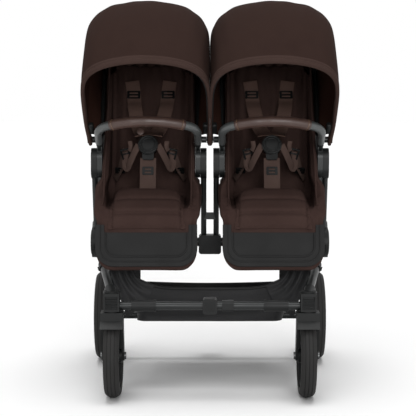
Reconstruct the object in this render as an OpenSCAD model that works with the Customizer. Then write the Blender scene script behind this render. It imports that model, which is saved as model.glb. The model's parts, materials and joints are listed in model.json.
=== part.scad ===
// Side by side double stroller with two forward facing seats.
// X runs to the right as seen from the front, Y to the rear and Z up from the floor.
// Everything is drawn with Y measured from the seats' tilt axis; place() then shifts the
// part so that its origin is the middle of its outline on the floor.
// Right hand pieces (+X) are drawn and left hand ones are their mirror images.

/* [Layout] */
// Distance between the middles of the two seats
seat_pitch = 385; // [384:1:400]
// Height of the seats' tilt axis above the floor
tilt_z = 690; // [688:1:710]
// Distance of the fold axis behind the tilt axis
fold_y = 60; // [50:1:70]
// Height of the fold axis above the floor
fold_z = 428; // [420:1:434]

/* [Wheels] */
// Diameter of a rear tyre
rear_wheel_d = 300; // [280:1:310]
// Width of a rear tyre
rear_tyre_w = 50; // [44:1:54]
// Distance between the middles of the rear tyres
rear_track = 720; // [712:1:740]
// Distance of the rear axle behind the tilt axis
rear_axle_y = 280; // [265:1:295]
// Diameter of a front tyre
front_wheel_d = 250; // [236:1:254]
// Width of a front tyre
front_tyre_w = 46; // [40:1:48]
// Distance between the middles of the front tyres
front_track = 578; // [566:1:584]
// Distance of the swivel axes ahead of the tilt axis
swivel_y = 315; // [305:1:325]
// Distance of a front axle behind its swivel axis
trail = 45; // [38:1:52]
// Height of a tyre's section
tyre_h = 30; // [24:1:36]
// Number of spokes in a wheel
spoke_count = 6; // [5:1:8]
// Diameter of the wheel axles
axle_d = 12; // [10:1:14]

/* [Frame] */
// Diameter of the cross tube on the fold axis
cross_d = 28; // [26:1:32]
// Diameter of the rear legs and the axle beam
rear_leg_d = 26; // [24:1:28]
// Diameter of the front legs
front_leg_d = 24; // [22:1:26]
// Diameter of the tubes that carry the seat mounts
mount_tube_d = 18; // [16:1:18]
// Diameter of a joint housing
housing_d = 100; // [96:1:106]
// Width of a joint housing
housing_w = 34; // [33:1:36]
// Width of a rear leg's eye on the cross tube
eye_w = 30; // [26:1:32]
// Height of a swivel housing
caster_h = 61; // [58:1:64]
// Diameter of a swivel housing
caster_d = 50; // [48:1:54]
// Diameter of the front crossbar's tube
front_bar_d = 25; // [22:1:26]

/* [Handle] */
// Slope of the handle tubes from the floor's plane, in degrees
handle_slope = 51; // [49:1:53]
// Length from the fold axis to the grip
handle_len = 732; // [710:1:750]
// Outer diameter of the lower handle tubes
handle_d = 26; // [25:1:27]
// Diameter of the sliding handlebar tube
bar_d = 21; // [19:1:22]
// Diameter of the grip
grip_d = 34; // [31:1:38]
// Length of the grip
grip_len = 500; // [420:1:560]
// Travel of the handlebar
handle_travel = 110; // [80:1:120]

/* [Seat] */
// Width of a seat at its leg rest
seat_w = 315; // [306:1:317]
// Width of a seat's bucket between its hubs
bucket_w = 284; // [278:1:286]
// Height of the top of the backrest above the tilt axis
back_rise = 320; // [300:1:330]
// Drop of the seat's front edge below the tilt axis
seat_drop = 138; // [134:1:142]
// Drop of the leg rest's underside below the tilt axis
rest_drop = 328; // [318:1:329]
// Thickness of the bucket's padded wall
wall_t = 14; // [10:1:16]
// Thickness of the seat pad at its crown
pad_t = 20; // [14:1:22]
// Width of the shoulder straps
strap_w = 38; // [30:1:42]
// Thickness of the webbing
web_t = 2.5; // [2:0.1:3]
// Diameter of the buckle
buckle_d = 62; // [56:1:66]

/* [Bumper bar] */
// Diameter of the bumper bar's tube
bumper_d = 20; // [18:1:22]
// Outer diameter of the wrap on the bumper bar
wrap_d = 34; // [30:1:36]
// Length of the wrap across the seat
wrap_len = 232; // [210:1:240]

/* [Canopy] */
// Radius of the front rim about the canopy pivot
rim_r = 396; // [386:1:404]
// Radius of the crown about the canopy pivot
crown_r = 440; // [430:1:448]
// Radius of the rear edge about the canopy pivot
nape_r = 345; // [338:1:352]
// Thickness of the canopy's cloth and lining
cloth_t = 3; // [2:0.5:4]
// Gap between the two canopies
canopy_gap = 5; // [4:0.5:8]

/* [Basket] */
// Width of the basket's floor
basket_w = 456; // [430:1:470]
// Depth of the basket from its rim to its floor
basket_h = 112; // [100:1:118]
// Height of the front of the basket's rim above the floor
basket_z = 313; // [308:1:318]

/* [Hidden] */

$fn = 48;
fine_fn = 96;
// Cuts run past a face by this much
over = 1;
// Gap between pieces that are fixed to each other
seat_gap = 0.2;
// Gap between pieces that slide past each other
run_gap = 0.4;
// Radial clearance of a turning pin
pin_gap = 0.05;
// A bend stands proud of its straight tubes by this much and laps over their ends
bend_swell = 0.2;
bend_lap = 0.5;
// The straight sides of a slot lie this far inside its round ends, so no corner is on a circle
slot_ease = 0.1;

black_plastic = "#2a2b2b";
dark_metal = "#3b3d3d";
tyre_black = "#2f2f2f";
brown_cloth = "#3f312e";
brown_canopy = "#392b27";
brown_leather = "#5a4642";

// Places that several pieces share
seat_x = seat_pitch / 2;
rear_z = rear_wheel_d / 2;
front_z = front_wheel_d / 2;
rear_x = rear_track / 2;
front_x = front_track / 2;
front_axle_y = trail - swivel_y;
mount_off = 172.5;
mount_w = 19;
mount_x = seat_x + mount_off;
inner_x = mount_off - seat_x;
fold_at = [fold_y, fold_z];
handle_dir = [cos(handle_slope), sin(handle_slope)];
handle_end = fold_at + handle_len * handle_dir;
// Middle of the outline, between the front tyres and the grip
mid_y = (front_axle_y - front_z + handle_end.x + grip_d / 2) / 2;

// Helpers

function unit(v) = v / norm(v);
function side_of(v) = [-v.y, v.x];
function mix(a, b, t) = a + (b - a) * t;
function flip(list) = [for (i = [len(list) - 1:-1:0]) list[i]];

// Points of an arc that rounds the corner b between a and c
function corner(a, b, c, r, steps) =
    let (u = unit(a - b), v = unit(c - b), half = acos(u * v) / 2)
    let (back = r / tan(half), mid = b + unit(u + v) * r / sin(half))
    let (p = b + u * back - mid, q = b + v * back - mid)
    let (turn = atan2(p.x * q.y - p.y * q.x, p * q))
    [for (k = [0:steps])
        let (w = turn * k / steps)
        mid + [p.x * cos(w) - p.y * sin(w), p.x * sin(w) + p.y * cos(w)]];

// An open path whose inner corners are rounded
function round_path(pts, radii, steps = 6) = concat(
    [pts[0]],
    [for (i = [1:len(pts) - 2]) each corner(pts[i - 1], pts[i], pts[i + 1], radii[i - 1], steps)],
    [pts[len(pts) - 1]]);

// A closed outline whose corners are all rounded
function round_outline(pts, radii, steps = 6) =
    let (n = len(pts))
    [for (i = [0:n - 1])
        each corner(pts[(i + n - 1) % n], pts[i], pts[(i + 1) % n], radii[i], steps)];

// The direction of a path at one of its points
function heading(path, i) =
    unit(path[min(i + 1, len(path) - 1)] - path[max(i - 1, 0)]);

// A path moved to its left by a distance
function shifted(path, d) =
    [for (i = [0:len(path) - 1]) path[i] + d * side_of(heading(path, i))];

// A path with each long stretch split into steps
function split(path, step) = concat(
    [for (i = [0:len(path) - 2])
        let (n = max(1, round(norm(path[i + 1] - path[i]) / step)))
        for (k = [0:n - 1]) mix(path[i], path[i + 1], k / n)],
    [path[len(path) - 1]]);

// The length of a path up to one of its points
function run_to(path, i) = i == 0 ? 0 : norm(path[i] - path[i - 1]) + run_to(path, i - 1);

// Mirrors a right hand piece to the left
module on_side(s) {
    if (s < 0)
        mirror([1, 0, 0]) children();
    else
        children();
}

// Both sides of a symmetric piece
module both() {
    children();
    mirror([1, 0, 0]) children();
}

// Moves a finished piece into the part's own frame
module place() {
    translate([0, -mid_y, 0]) children();
}

// Extrudes an outline in Y and Z across the width, about its middle
module across(w) {
    rotate([90, 0, 90]) linear_extrude(w, center = true) children();
}

// A cylinder along X about its middle
module disc(d, w) {
    rotate([0, 90, 0]) cylinder(d = d, h = w, center = true);
}

// A straight round bar between two points
module bar(p, q, d) {
    v = q - p;
    l = norm(v);
    translate(p) rotate([0, acos(v.z / l), atan2(v.y, v.x)]) cylinder(d = d, h = l);
}

// A round bar along points, bent at each inner point to its own radius
module bent_bar(pts, radii, d) {
    n = len(pts);
    u = [for (i = [0:n - 2]) unit(pts[i + 1] - pts[i])];
    turn = [for (i = [1:n - 2]) acos(u[i - 1] * u[i])];
    back = [for (i = [0:n - 3]) radii[i] * tan(turn[i] / 2)];
    for (i = [0:n - 2])
        bar(pts[i] + (i == 0 ? 0 : back[i - 1] - bend_lap) * u[i],
            pts[i + 1] - (i == n - 2 ? 0 : back[i] - bend_lap) * u[i], d);
    for (i = [1:n - 2]) {
        w = unit(u[i] - (u[i - 1] * u[i]) * u[i - 1]);
        x = -w;
        y = u[i - 1];
        z = cross(x, y);
        c = pts[i] - back[i - 1] * y + radii[i - 1] * w;
        multmatrix([[x.x, y.x, z.x, c.x], [x.y, y.y, z.y, c.y], [x.z, y.z, z.z, c.z], [0, 0, 0, 1]])
            rotate_extrude(angle = turn[i - 1], $fn = fine_fn)
                translate([radii[i - 1], 0]) circle(d = d + bend_swell);
    }
}

// A flat shape with round ends, from one point to another
module slot_2d(p, q, d) {
    v = q - p;
    translate(p) circle(d = d);
    translate(q) circle(d = d);
    translate(p) rotate(atan2(v.y, v.x)) translate([0, slot_ease - d / 2])
        square([norm(v), d - 2 * slot_ease]);
}

// A rectangle about its middle with round corners
module round_rect(w, h, r) {
    square([w - 2 * r, h], center = true);
    square([w, h - 2 * r], center = true);
    for (x = [-1, 1], y = [-1, 1])
        translate([x * (w / 2 - r), y * (h / 2 - r)]) circle(r);
}

// A closed solid between two grids of points, the first on the outside
module grid_solid(outer, inner) {
    m = len(outer);
    n = len(outer[0]);
    base = m * n;
    o = function (i, j) i * n + j;
    points = concat([for (row = outer) each row], [for (row = inner) each row]);
    quads = concat(
        [for (i = [0:m - 2], j = [0:n - 2]) [o(i, j), o(i, j + 1), o(i + 1, j + 1), o(i + 1, j)]],
        [for (i = [0:m - 2], j = [0:n - 2])
            [base + o(i, j), base + o(i + 1, j), base + o(i + 1, j + 1), base + o(i, j + 1)]],
        [for (i = [0:m - 2]) [o(i, 0), o(i + 1, 0), base + o(i + 1, 0), base + o(i, 0)]],
        [for (i = [0:m - 2])
            [o(i + 1, n - 1), o(i, n - 1), base + o(i, n - 1), base + o(i + 1, n - 1)]],
        [for (j = [0:n - 2]) [o(0, j + 1), o(0, j), base + o(0, j), base + o(0, j + 1)]],
        [for (j = [0:n - 2])
            [o(m - 1, j), o(m - 1, j + 1), base + o(m - 1, j + 1), base + o(m - 1, j)]]);
    polyhedron(points, [for (q = quads) each [[q[0], q[1], q[2]], [q[0], q[2], q[3]]]]);
}

// Wheels

crown_share = 0.62;
bulge_share = 0.56;
groove_shares = [-0.24, 0, 0.24];
groove = 2.4;
rim_w_share = 0.8;
rim_t = 8;
hub_d = 44;
web_t_share = 0.3;
spoke_root = 26;
spoke_tip = 15;
spoke_slot = 6;
spoke_slot_shares = [0.42, 0.78];
fork_side_gap = 3;
fork_in = front_tyre_w + 2 * fork_side_gap;
front_hub_w = fork_in - 2 * run_gap;
leg_gap = 4;
leg_x = rear_x - rear_tyre_w / 2 - leg_gap - rear_leg_d / 2;
beam_end = leg_x + rear_leg_d / 2;
rear_hub_w = 2 * (rear_x - beam_end - run_gap);

// A tyre with a round crown, full sides and grooves round its tread
module tyre(d, w) {
    crown = w * crown_share;
    color(tyre_black) rotate([0, 90, 0]) rotate_extrude($fn = fine_fn) difference() {
        intersection() {
            translate([d / 2 - tyre_h, -w / 2]) square([tyre_h, w]);
            translate([d / 2 - crown, 0]) circle(crown);
            translate([d / 2 - tyre_h / 2, 0]) circle(w * bulge_share);
        }
        for (share = groove_shares)
            translate([d / 2 - crown + sqrt(crown ^ 2 - (share * w) ^ 2), share * w])
                square([2 * groove, groove], center = true);
    }
}

// A moulded wheel: rim band, slotted spokes and a bored hub
module rim(d, w, hub_w) {
    r = d / 2 - tyre_h - seat_gap;
    web = w * web_t_share;
    color(black_plastic) rotate([0, 90, 0]) difference() {
        union() {
            rotate_extrude($fn = fine_fn)
                translate([r - rim_t, -w * rim_w_share / 2]) square([rim_t, w * rim_w_share]);
            cylinder(d = hub_d, h = hub_w, center = true);
            linear_extrude(web, center = true) for (i = [0:spoke_count - 1])
                rotate(i * 360 / spoke_count) difference() {
                    polygon([[0, -spoke_root / 2], [r - rim_t / 2, -spoke_tip / 2],
                             [r - rim_t / 2, spoke_tip / 2], [0, spoke_root / 2]]);
                    slot_2d([r * spoke_slot_shares[0], 0], [r * spoke_slot_shares[1], 0], spoke_slot);
                }
        }
        cylinder(d = axle_d + 2 * pin_gap, h = hub_w + 2 * over, center = true);
    }
}

module rear_tyre(s) { on_side(s) translate([rear_x, rear_axle_y, rear_z]) tyre(rear_wheel_d, rear_tyre_w); }

module rear_rim(s) {
    on_side(s) translate([rear_x, rear_axle_y, rear_z]) rim(rear_wheel_d, rear_tyre_w, rear_hub_w);
}

module front_tyre(s) {
    on_side(s) translate([front_x, front_axle_y, front_z]) tyre(front_wheel_d, front_tyre_w);
}

module front_rim(s) {
    on_side(s) translate([front_x, front_axle_y, front_z]) rim(front_wheel_d, front_tyre_w, front_hub_w);
}

// Front forks

arm_t = 7;
fork_out = fork_in + 2 * arm_t;
eye_d = 30;
hood_gap = 6;
hood_t = 6;
hood_front = 66;
hood_back = 20;
hood_lip_drop = 28;
fork_crown_w = 54;
stem_d = 16;
stem_h = 44;
bolt_head_d = 22;
bolt_head_t = 5;
// The hood hugs the tyre and the crown stands on the hood
hood_in = front_z + hood_gap;
crown_rise = 10;
fork_top = front_wheel_d + hood_gap + crown_rise;
caster_z = fork_top + run_gap;

// The axle's place as seen from the swivel axis
axle_at = [trail, front_z];

module hood_outline() {
    difference() {
        union() {
            intersection() {
                translate(axle_at) circle(hood_in + hood_t, $fn = fine_fn);
                translate([-hood_front, front_wheel_d - hood_lip_drop])
                    square([hood_front + hood_back, hood_lip_drop + hood_gap + hood_t]);
            }
            translate([-fork_crown_w / 2, front_z])
                square([fork_crown_w, fork_top - front_z]);
        }
        translate(axle_at) circle(hood_in, $fn = fine_fn);
    }
}

module arm_outline() {
    translate(axle_at) circle(d = eye_d);
    polygon([[-fork_crown_w / 2, fork_top - crown_rise], [fork_crown_w / 2, fork_top - crown_rise],
             axle_at + [eye_d / 2, 0], axle_at - [eye_d / 2, 0]]);
}

// A fork with a hood over the tyre, two arms and the swivel stem
module fork(s) {
    color(black_plastic) on_side(s) translate([front_x, -swivel_y, 0]) difference() {
        union() {
            translate([0, 0, fork_top - crown_rise]) cylinder(d = stem_d, h = crown_rise + stem_h);
            across(fork_out) hood_outline();
            for (x = [-1, 1])
                translate([x * (fork_in + arm_t) / 2, 0, 0]) across(arm_t) arm_outline();
        }
        translate([0, trail, front_z]) disc(axle_d + 2 * seat_gap, fork_out + 2 * over);
    }
}

// A wheel bolt with a head at each end
module front_axle(s) {
    color(dark_metal) on_side(s) translate([front_x, front_axle_y, front_z]) {
        disc(axle_d, fork_out + 2 * seat_gap + bolt_head_t);
        for (x = [-1, 1])
            translate([x * (fork_out / 2 + seat_gap + bolt_head_t / 2), 0, 0])
                disc(bolt_head_d, bolt_head_t);
    }
}

stub_in = 25;
cap_d = 34;
cap_t = 5;

// Stub axles with hub caps, plugged into the axle beam
module rear_axles() {
    color(dark_metal) both() translate([0, rear_axle_y, rear_z]) {
        hub_end = rear_x + rear_hub_w / 2 + run_gap;
        translate([(beam_end - stub_in + hub_end) / 2, 0, 0]) disc(axle_d, hub_end - beam_end + stub_in);
        translate([hub_end + cap_t / 2, 0, 0]) disc(cap_d, cap_t);
    }
}

// Swivel housings and front frame

lock_w = 36;
lock_h = 30;
lock_t = 8;
lock_travel = 8;
lock_rise = 10;
lock_ridge = 3;
brow_w = 46;
brow_y = 31;
brow_rise = 4;
leg_rise = 46;
leg_plug = 18;
socket_wall = 5;
socket_len = 46;
leg_foot = [front_x, -swivel_y, caster_z + leg_rise];
leg_top = [mount_x, fold_y, fold_z];
leg_dir = unit(leg_top - leg_foot);
leg_stop = 32;
front_bar_rise = 17;
front_bar_z = caster_z + front_bar_rise;
front_bar_plug = 12;
front_bar_half = front_x - caster_d / 2 + front_bar_plug;

// A swivel housing with sockets for the leg and the crossbar and a pocket for its lock
module swivel_housing(s) {
    color(black_plastic) on_side(s) difference() {
        union() {
            translate([front_x, -swivel_y, caster_z]) cylinder(d = caster_d, h = caster_h);
            translate([front_x - brow_w / 2, -swivel_y - brow_y, caster_z + brow_rise])
                cube([brow_w, brow_y, caster_h - 2 * brow_rise]);
            bar(leg_foot, leg_foot + socket_len * leg_dir, front_leg_d + 2 * socket_wall);
        }
        translate([front_x, -swivel_y, caster_z - over])
            cylinder(d = stem_d + 2 * pin_gap, h = stem_h + 2 * over);
        bar(leg_foot + leg_plug * leg_dir, leg_foot + (socket_len + over) * leg_dir,
            front_leg_d + 2 * seat_gap);
        translate([0, -swivel_y, front_bar_z]) disc(front_bar_d + 2 * seat_gap, 2 * front_bar_half);
        translate([front_x - lock_w / 2 - run_gap, -swivel_y - brow_y - over,
                   caster_z + lock_rise - run_gap])
            cube([lock_w + 2 * run_gap, over + lock_t, lock_h + lock_travel + 2 * run_gap]);
    }
}

// A lock button with finger ridges, which slides up in its pocket
module swivel_lock(s) {
    color(dark_metal) on_side(s)
        translate([front_x, -swivel_y - brow_y, caster_z + lock_rise]) difference() {
            translate([-lock_w / 2, 0, 0]) cube([lock_w, lock_t - run_gap, lock_h]);
            for (z = [lock_h / 4, lock_h / 2, 3 * lock_h / 4])
                translate([0, 0, z]) disc(lock_ridge, lock_w + 2 * over);
        }
}

module front_legs() {
    color(dark_metal) both()
        bar(leg_foot + leg_plug * leg_dir, leg_top - leg_stop * leg_dir, front_leg_d);
}

module front_crossbar() {
    color(dark_metal) translate([0, -swivel_y, front_bar_z])
        disc(front_bar_d, 2 * (front_bar_half - seat_gap));
}

sleeve_d = 33;
sleeve_in = 94;
sleeve_x = front_x - sleeve_in;
sleeve_len = 72;
sleeve_lip_d = 36;
sleeve_lip = 6;
block_w = 42;
block_h = 46;
block_y = 40;
block_r = 8;
rib_w = 3;
rib_deep = 2;
rib_shares = [-0.3, -0.1, 0.1, 0.3];
bar_bore = front_bar_d + 2 * seat_gap;
slider_x = 53;
slider_w = 34;
slider_h = 32;
slider_r = 7;

// Moulded sleeves and the middle block on the front crossbar
module crossbar_collars() {
    color(black_plastic) translate([0, -swivel_y, front_bar_z]) {
        both() difference() {
            translate([sleeve_x, 0, 0]) {
                disc(sleeve_d, sleeve_len);
                translate([(sleeve_lip - sleeve_len) / 2, 0, 0]) disc(sleeve_lip_d, sleeve_lip);
            }
            translate([sleeve_x, 0, 0]) disc(bar_bore, sleeve_len + 2 * over);
        }
        difference() {
            rotate([90, 0, 0]) linear_extrude(block_y, center = true) round_rect(block_w, block_h, block_r);
            disc(bar_bore, block_w + 2 * over);
            for (share = rib_shares) translate([share * block_w, -block_y / 2, 0])
                cube([rib_w, 2 * rib_deep, block_h - 2 * block_r], center = true);
        }
    }
}

// The sliding latch beside the middle block
module width_latch() {
    color(black_plastic) translate([slider_x, -swivel_y, front_bar_z]) difference() {
        rotate([0, 90, 0]) linear_extrude(slider_w, center = true) round_rect(slider_h, slider_h, slider_r);
        disc(front_bar_d + 2 * pin_gap, slider_w + 2 * over);
    }
}

// Fold joint and rear frame

eye_wall = 11;
collar_wall = 6;
cross_plug = 8;
cross_half = mount_x - housing_w / 2 + cross_plug;
face_d = 78;
face_step = 3;
mount_low = 52;
mount_drop = 22;
mount_rise = 14;
mount_d = 60;
tube_plug = 12;
tube_foot = tilt_z - mount_low + tube_plug;
tube_stop = 34;
handle_stop = 32;

function outer_tube(x) = [[x, 0, tube_foot], [x, fold_y, fold_z]];

// Joint housings with sockets for the legs, the mount tubes and the handle
module joint_housings() {
    tube = outer_tube(mount_x);
    up = unit(tube[0] - tube[1]);
    handle = [0, handle_dir.x, handle_dir.y];
    inner = mount_x - housing_w / 2;
    eye_end = leg_x + eye_w / 2 + run_gap;
    color(black_plastic) both() difference() {
        union() {
            translate(leg_top) {
                disc(housing_d, housing_w - 2 * face_step);
                disc(face_d, housing_w);
            }
            translate([(inner + face_step + eye_end) / 2, fold_y, fold_z])
                disc(cross_d + 2 * collar_wall, inner + face_step - eye_end);
            bar(leg_top - (leg_stop - socket_wall) * leg_dir,
                leg_top - (housing_d / 2 + socket_wall) * leg_dir,
                front_leg_d + 2 * socket_wall);
            bar(leg_top + (handle_stop - socket_wall) * handle,
                leg_top + (housing_d / 2 + socket_len / 2) * handle,
                handle_d + 2 * socket_wall);
        }
        translate([0, fold_y, fold_z]) disc(cross_d + 2 * seat_gap, 2 * cross_half);
        bar(leg_top - leg_stop * leg_dir, leg_top - housing_d * leg_dir, front_leg_d + 2 * seat_gap);
        bar(leg_top + tube_stop * up, leg_top + housing_d * up, mount_tube_d + 2 * seat_gap);
        bar(leg_top + handle_stop * handle, leg_top + housing_d * handle, handle_d + 2 * seat_gap);
    }
}

module main_crossbar() {
    color(dark_metal) translate([0, fold_y, fold_z]) disc(cross_d, 2 * (cross_half - seat_gap));
}

// Rear legs, their eyes on the cross tube and the axle beam, in one welded frame
module rear_frame() {
    color(dark_metal) difference() {
        union() {
            both() {
                bar([leg_x, fold_y, fold_z], [leg_x, rear_axle_y, rear_z], rear_leg_d);
                translate([leg_x, fold_y, fold_z]) disc(cross_d + 2 * eye_wall, eye_w);
            }
            translate([0, rear_axle_y, rear_z]) disc(rear_leg_d, 2 * beam_end);
        }
        translate([0, fold_y, fold_z]) disc(cross_d + 2 * pin_gap, 2 * mount_x);
        both() translate([beam_end, rear_axle_y, rear_z])
            disc(axle_d + 2 * seat_gap, 2 * (stub_in + seat_gap));
    }
}

pedal_w = 64;
pedal_len = 74;
pedal_t = 9;
pedal_wall = 6;
pedal_tilt = 12;
tread = 3;
tread_shares = [0.55, 0.7, 0.85];

// A foot brake that turns on the axle beam
module brake_pedal() {
    tip = pedal_len * [cos(pedal_tilt), sin(pedal_tilt)];
    top = pedal_t / 2 * [-sin(pedal_tilt), cos(pedal_tilt)];
    color(black_plastic) translate([0, rear_axle_y, rear_z]) difference() {
        union() {
            disc(rear_leg_d + 2 * pedal_wall, pedal_w);
            across(pedal_w) slot_2d([0, 0], tip, pedal_t);
        }
        disc(rear_leg_d + 2 * pin_gap, pedal_w + 2 * over);
        for (share = tread_shares)
            translate([0, share * tip.x + top.x, share * tip.y + top.y]) disc(tread, pedal_w + 2 * over);
    }
}

hub_block_w = 72;
hub_block_up = 24;
hub_block_down = 37;
hub_block_y = 50;
hub_block_r = 9;

// The middle block on the cross tube, which holds the inner mount tubes
module centre_block() {
    color(black_plastic) difference() {
        translate([0, fold_y, fold_z + (hub_block_up - hub_block_down) / 2]) rotate([90, 0, 0])
            linear_extrude(hub_block_y, center = true)
                round_rect(hub_block_w, hub_block_up + hub_block_down, hub_block_r);
        translate([0, fold_y, fold_z]) disc(cross_d + 2 * seat_gap, hub_block_w + 2 * over);
        both() bar(tube_low(inner_x), outer_tube(inner_x)[0], mount_tube_d + 2 * seat_gap);
    }
}

inner_stop = 18;
bridge_h = 22;
bridge_y = 14;
bridge_share = 0.34;

// The lower end of an inner mount tube, just clear of the cross tube
function tube_low(x) =
    let (tube = outer_tube(x))
    tube[1] + inner_stop * unit(tube[0] - tube[1]);

// The tubes that carry the seat mounts, with a bridge between the inner pair
module mount_tubes() {
    tube = outer_tube(mount_x);
    mid = mix(tube_low(inner_x), outer_tube(inner_x)[0], bridge_share);
    color(dark_metal) {
        both() bar(tube[1] + tube_stop * unit(tube[0] - tube[1]), tube[0], mount_tube_d);
        both() bar(tube_low(inner_x), outer_tube(inner_x)[0], mount_tube_d);
        translate([0, mid.y, mid.z]) cube([2 * abs(inner_x), bridge_y, bridge_h], center = true);
    }
}

pivot_d = 18;
pivot_len = 16;
mount_dish_d = 40;
mount_dish = 2;

// Four seat mounts, each with the stub that a seat hub turns on
module seat_mounts() {
    color(black_plastic) both() translate([seat_x, 0, 0]) for (s = [-1, 1]) difference() {
        union() {
            translate([s * mount_off, 0, 0]) across(mount_w)
                slot_2d([0, tilt_z - mount_drop], [0, tilt_z + mount_rise], mount_d);
            translate([s * (mount_off - (mount_w + pivot_len) / 2), 0, tilt_z])
                disc(pivot_d, pivot_len + over);
        }
        translate([s * mount_off, 0, 0])
            bar([0, 0, tube_foot], [0, fold_y, fold_z], mount_tube_d + 2 * seat_gap);
        translate([s * (mount_off + mount_w / 2), 0, tilt_z + mount_rise])
            disc(mount_dish_d, 2 * mount_dish);
    }
}

// Handle

lower_len = 400;
// The sliding tubes stay this deep in the lower ones at the top of their travel
bar_hold = 55;
bar_from = lower_len - bar_hold - handle_travel;
bore_spare = 10;
bore_from = bar_from - bore_spare;
clamp_len = 44;
clamp_wall = 5;
ear_t = 5;
ear_out = 9;
lever_w = 14;
lever_t = 6;
lever_len = 52;
lever_pin = 5;
lever_eye = 13;
bar_bend = 60;

// A point along the right hand handle tube and its direction
function on_handle(l) = [mount_x, fold_y, fold_z] + l * [0, handle_dir.x, handle_dir.y];
lever_at = (handle_d / 2 + clamp_wall + ear_out);

// Puts a piece at the clamp, with Z along the tube and Y to its rear
module at_clamp() {
    translate(on_handle(lower_len - clamp_len / 2)) rotate([handle_slope - 90, 0, 0]) children();
}

// Lower handle tubes, bored for the sliding handlebar, with a clamp at the top of each
module handle_tubes() {
    color(dark_metal) both() difference() {
        union() {
            bar(on_handle(handle_stop), on_handle(lower_len), handle_d);
            at_clamp() {
                translate([0, 0, -clamp_len / 2]) cylinder(d = handle_d + 2 * clamp_wall, h = clamp_len);
                for (s = [-1, 1])
                    translate([s * (lever_w / 2 + run_gap + ear_t / 2), 0, 0])
                        across(ear_t) slot_2d([handle_d / 2, 0], [lever_at, 0], lever_eye);
                translate([0, lever_at, 0]) disc(lever_pin, lever_w + 2 * ear_t);
            }
        }
        bar(on_handle(bore_from), on_handle(lower_len + over), bar_d + 2 * pin_gap);
    }
}

// A height lever that turns out from its clamp
module height_lever(s) {
    color(black_plastic) on_side(s) at_clamp() translate([0, lever_at, 0]) difference() {
        across(lever_w) {
            circle(d = lever_eye);
            translate([(lever_eye - lever_t) / 2, 0]) slot_2d([0, 0], [0, -lever_len], lever_t);
        }
        disc(lever_pin + 2 * pin_gap, lever_w + 2 * over);
    }
}

// The handlebar: two sliding tubes and the bar across them
module handlebar() {
    low = on_handle(bar_from);
    top = on_handle(handle_len);
    other = [-1, 1, 1];
    color(dark_metal)
        bent_bar([low, top, [for (i = [0:2]) top[i] * other[i]], [for (i = [0:2]) low[i] * other[i]]],
                 [bar_bend, bar_bend], bar_d);
}

// A padded grip on the bar across
module handle_grip() {
    color(brown_leather) translate([0, handle_end.x, handle_end.y]) difference() {
        disc(grip_d, grip_len);
        disc(bar_d + 2 * seat_gap, grip_len + 2 * over);
    }
}

// Seats

hub_t = 16;
hub_out = mount_off - mount_w / 2 - run_gap;
hub_mid = hub_out - hub_t / 2;
hub_shrink = 4;
seat_hub_d = mount_d - hub_shrink;
// Pivots of the bumper bar and the canopy, from the tilt axis
bumper_y = -15;
bumper_rise = 45;
canopy_y = 10;
canopy_rise = 70;
bumper_at = [bumper_y, tilt_z + bumper_rise];
canopy_at = [canopy_y, tilt_z + canopy_rise];
ear_d = 26;
ear_slot = 10;
ear_pin = 8;
boss_d = 22;
boss_step = 2;
back_tube_d = 14;
back_bend = 40;
// Corners of the seat's side view, from the tilt axis
edge_y = -170;
crevice_y = 78;
crevice_rise = 10;
back_y = 205;
toe_y = -222;
toe_rise = 8;
heel_y = -174;
knee_y = -122;
front_edge = [edge_y, tilt_z - seat_drop];
crevice = [crevice_y, tilt_z - seat_drop + crevice_rise];
back_top = [back_y, tilt_z + back_rise];
toe = [toe_y, tilt_z - rest_drop + toe_rise];
heel = [heel_y, tilt_z - rest_drop];
knee_back = [knee_y, front_edge.y - wall_t];
edge_bend = 16;
crevice_bend = 50;
pad_drop = 66;
half_bucket = bucket_w / 2;
back_dir = unit(back_top - crevice);
back_front = side_of(back_dir);
rest_dir = unit(front_edge - toe);
pad_start = front_edge - pad_drop / rest_dir.y * rest_dir;
seat_path = round_path([pad_start, front_edge, crevice, back_top], [edge_bend, crevice_bend]);
back_tube_at = back_top - (wall_t + back_tube_d / 2 + 2 * seat_gap) * back_front;

module on_seat(s) {
    on_side(s) translate([seat_x, 0, 0]) children();
}

// A point at a share of the way from the seat's front edge to the top of its back
function seat_share(share) =
    front_edge + [share.x * (back_top.x - front_edge.x), share.y * (back_top.y - front_edge.y)];

// A point on the backrest at a share of its height, held off its cover towards the front
function on_back(share, off) = mix(crevice, back_top, share) + off * back_front;

guide_d = 8;
guide_len = 44;
guide_x = 34;
squeeze_w = 100;
squeeze_h = 16;
squeeze_t = 14;
squeeze_at = 30;
squeeze_r = 5;

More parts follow.
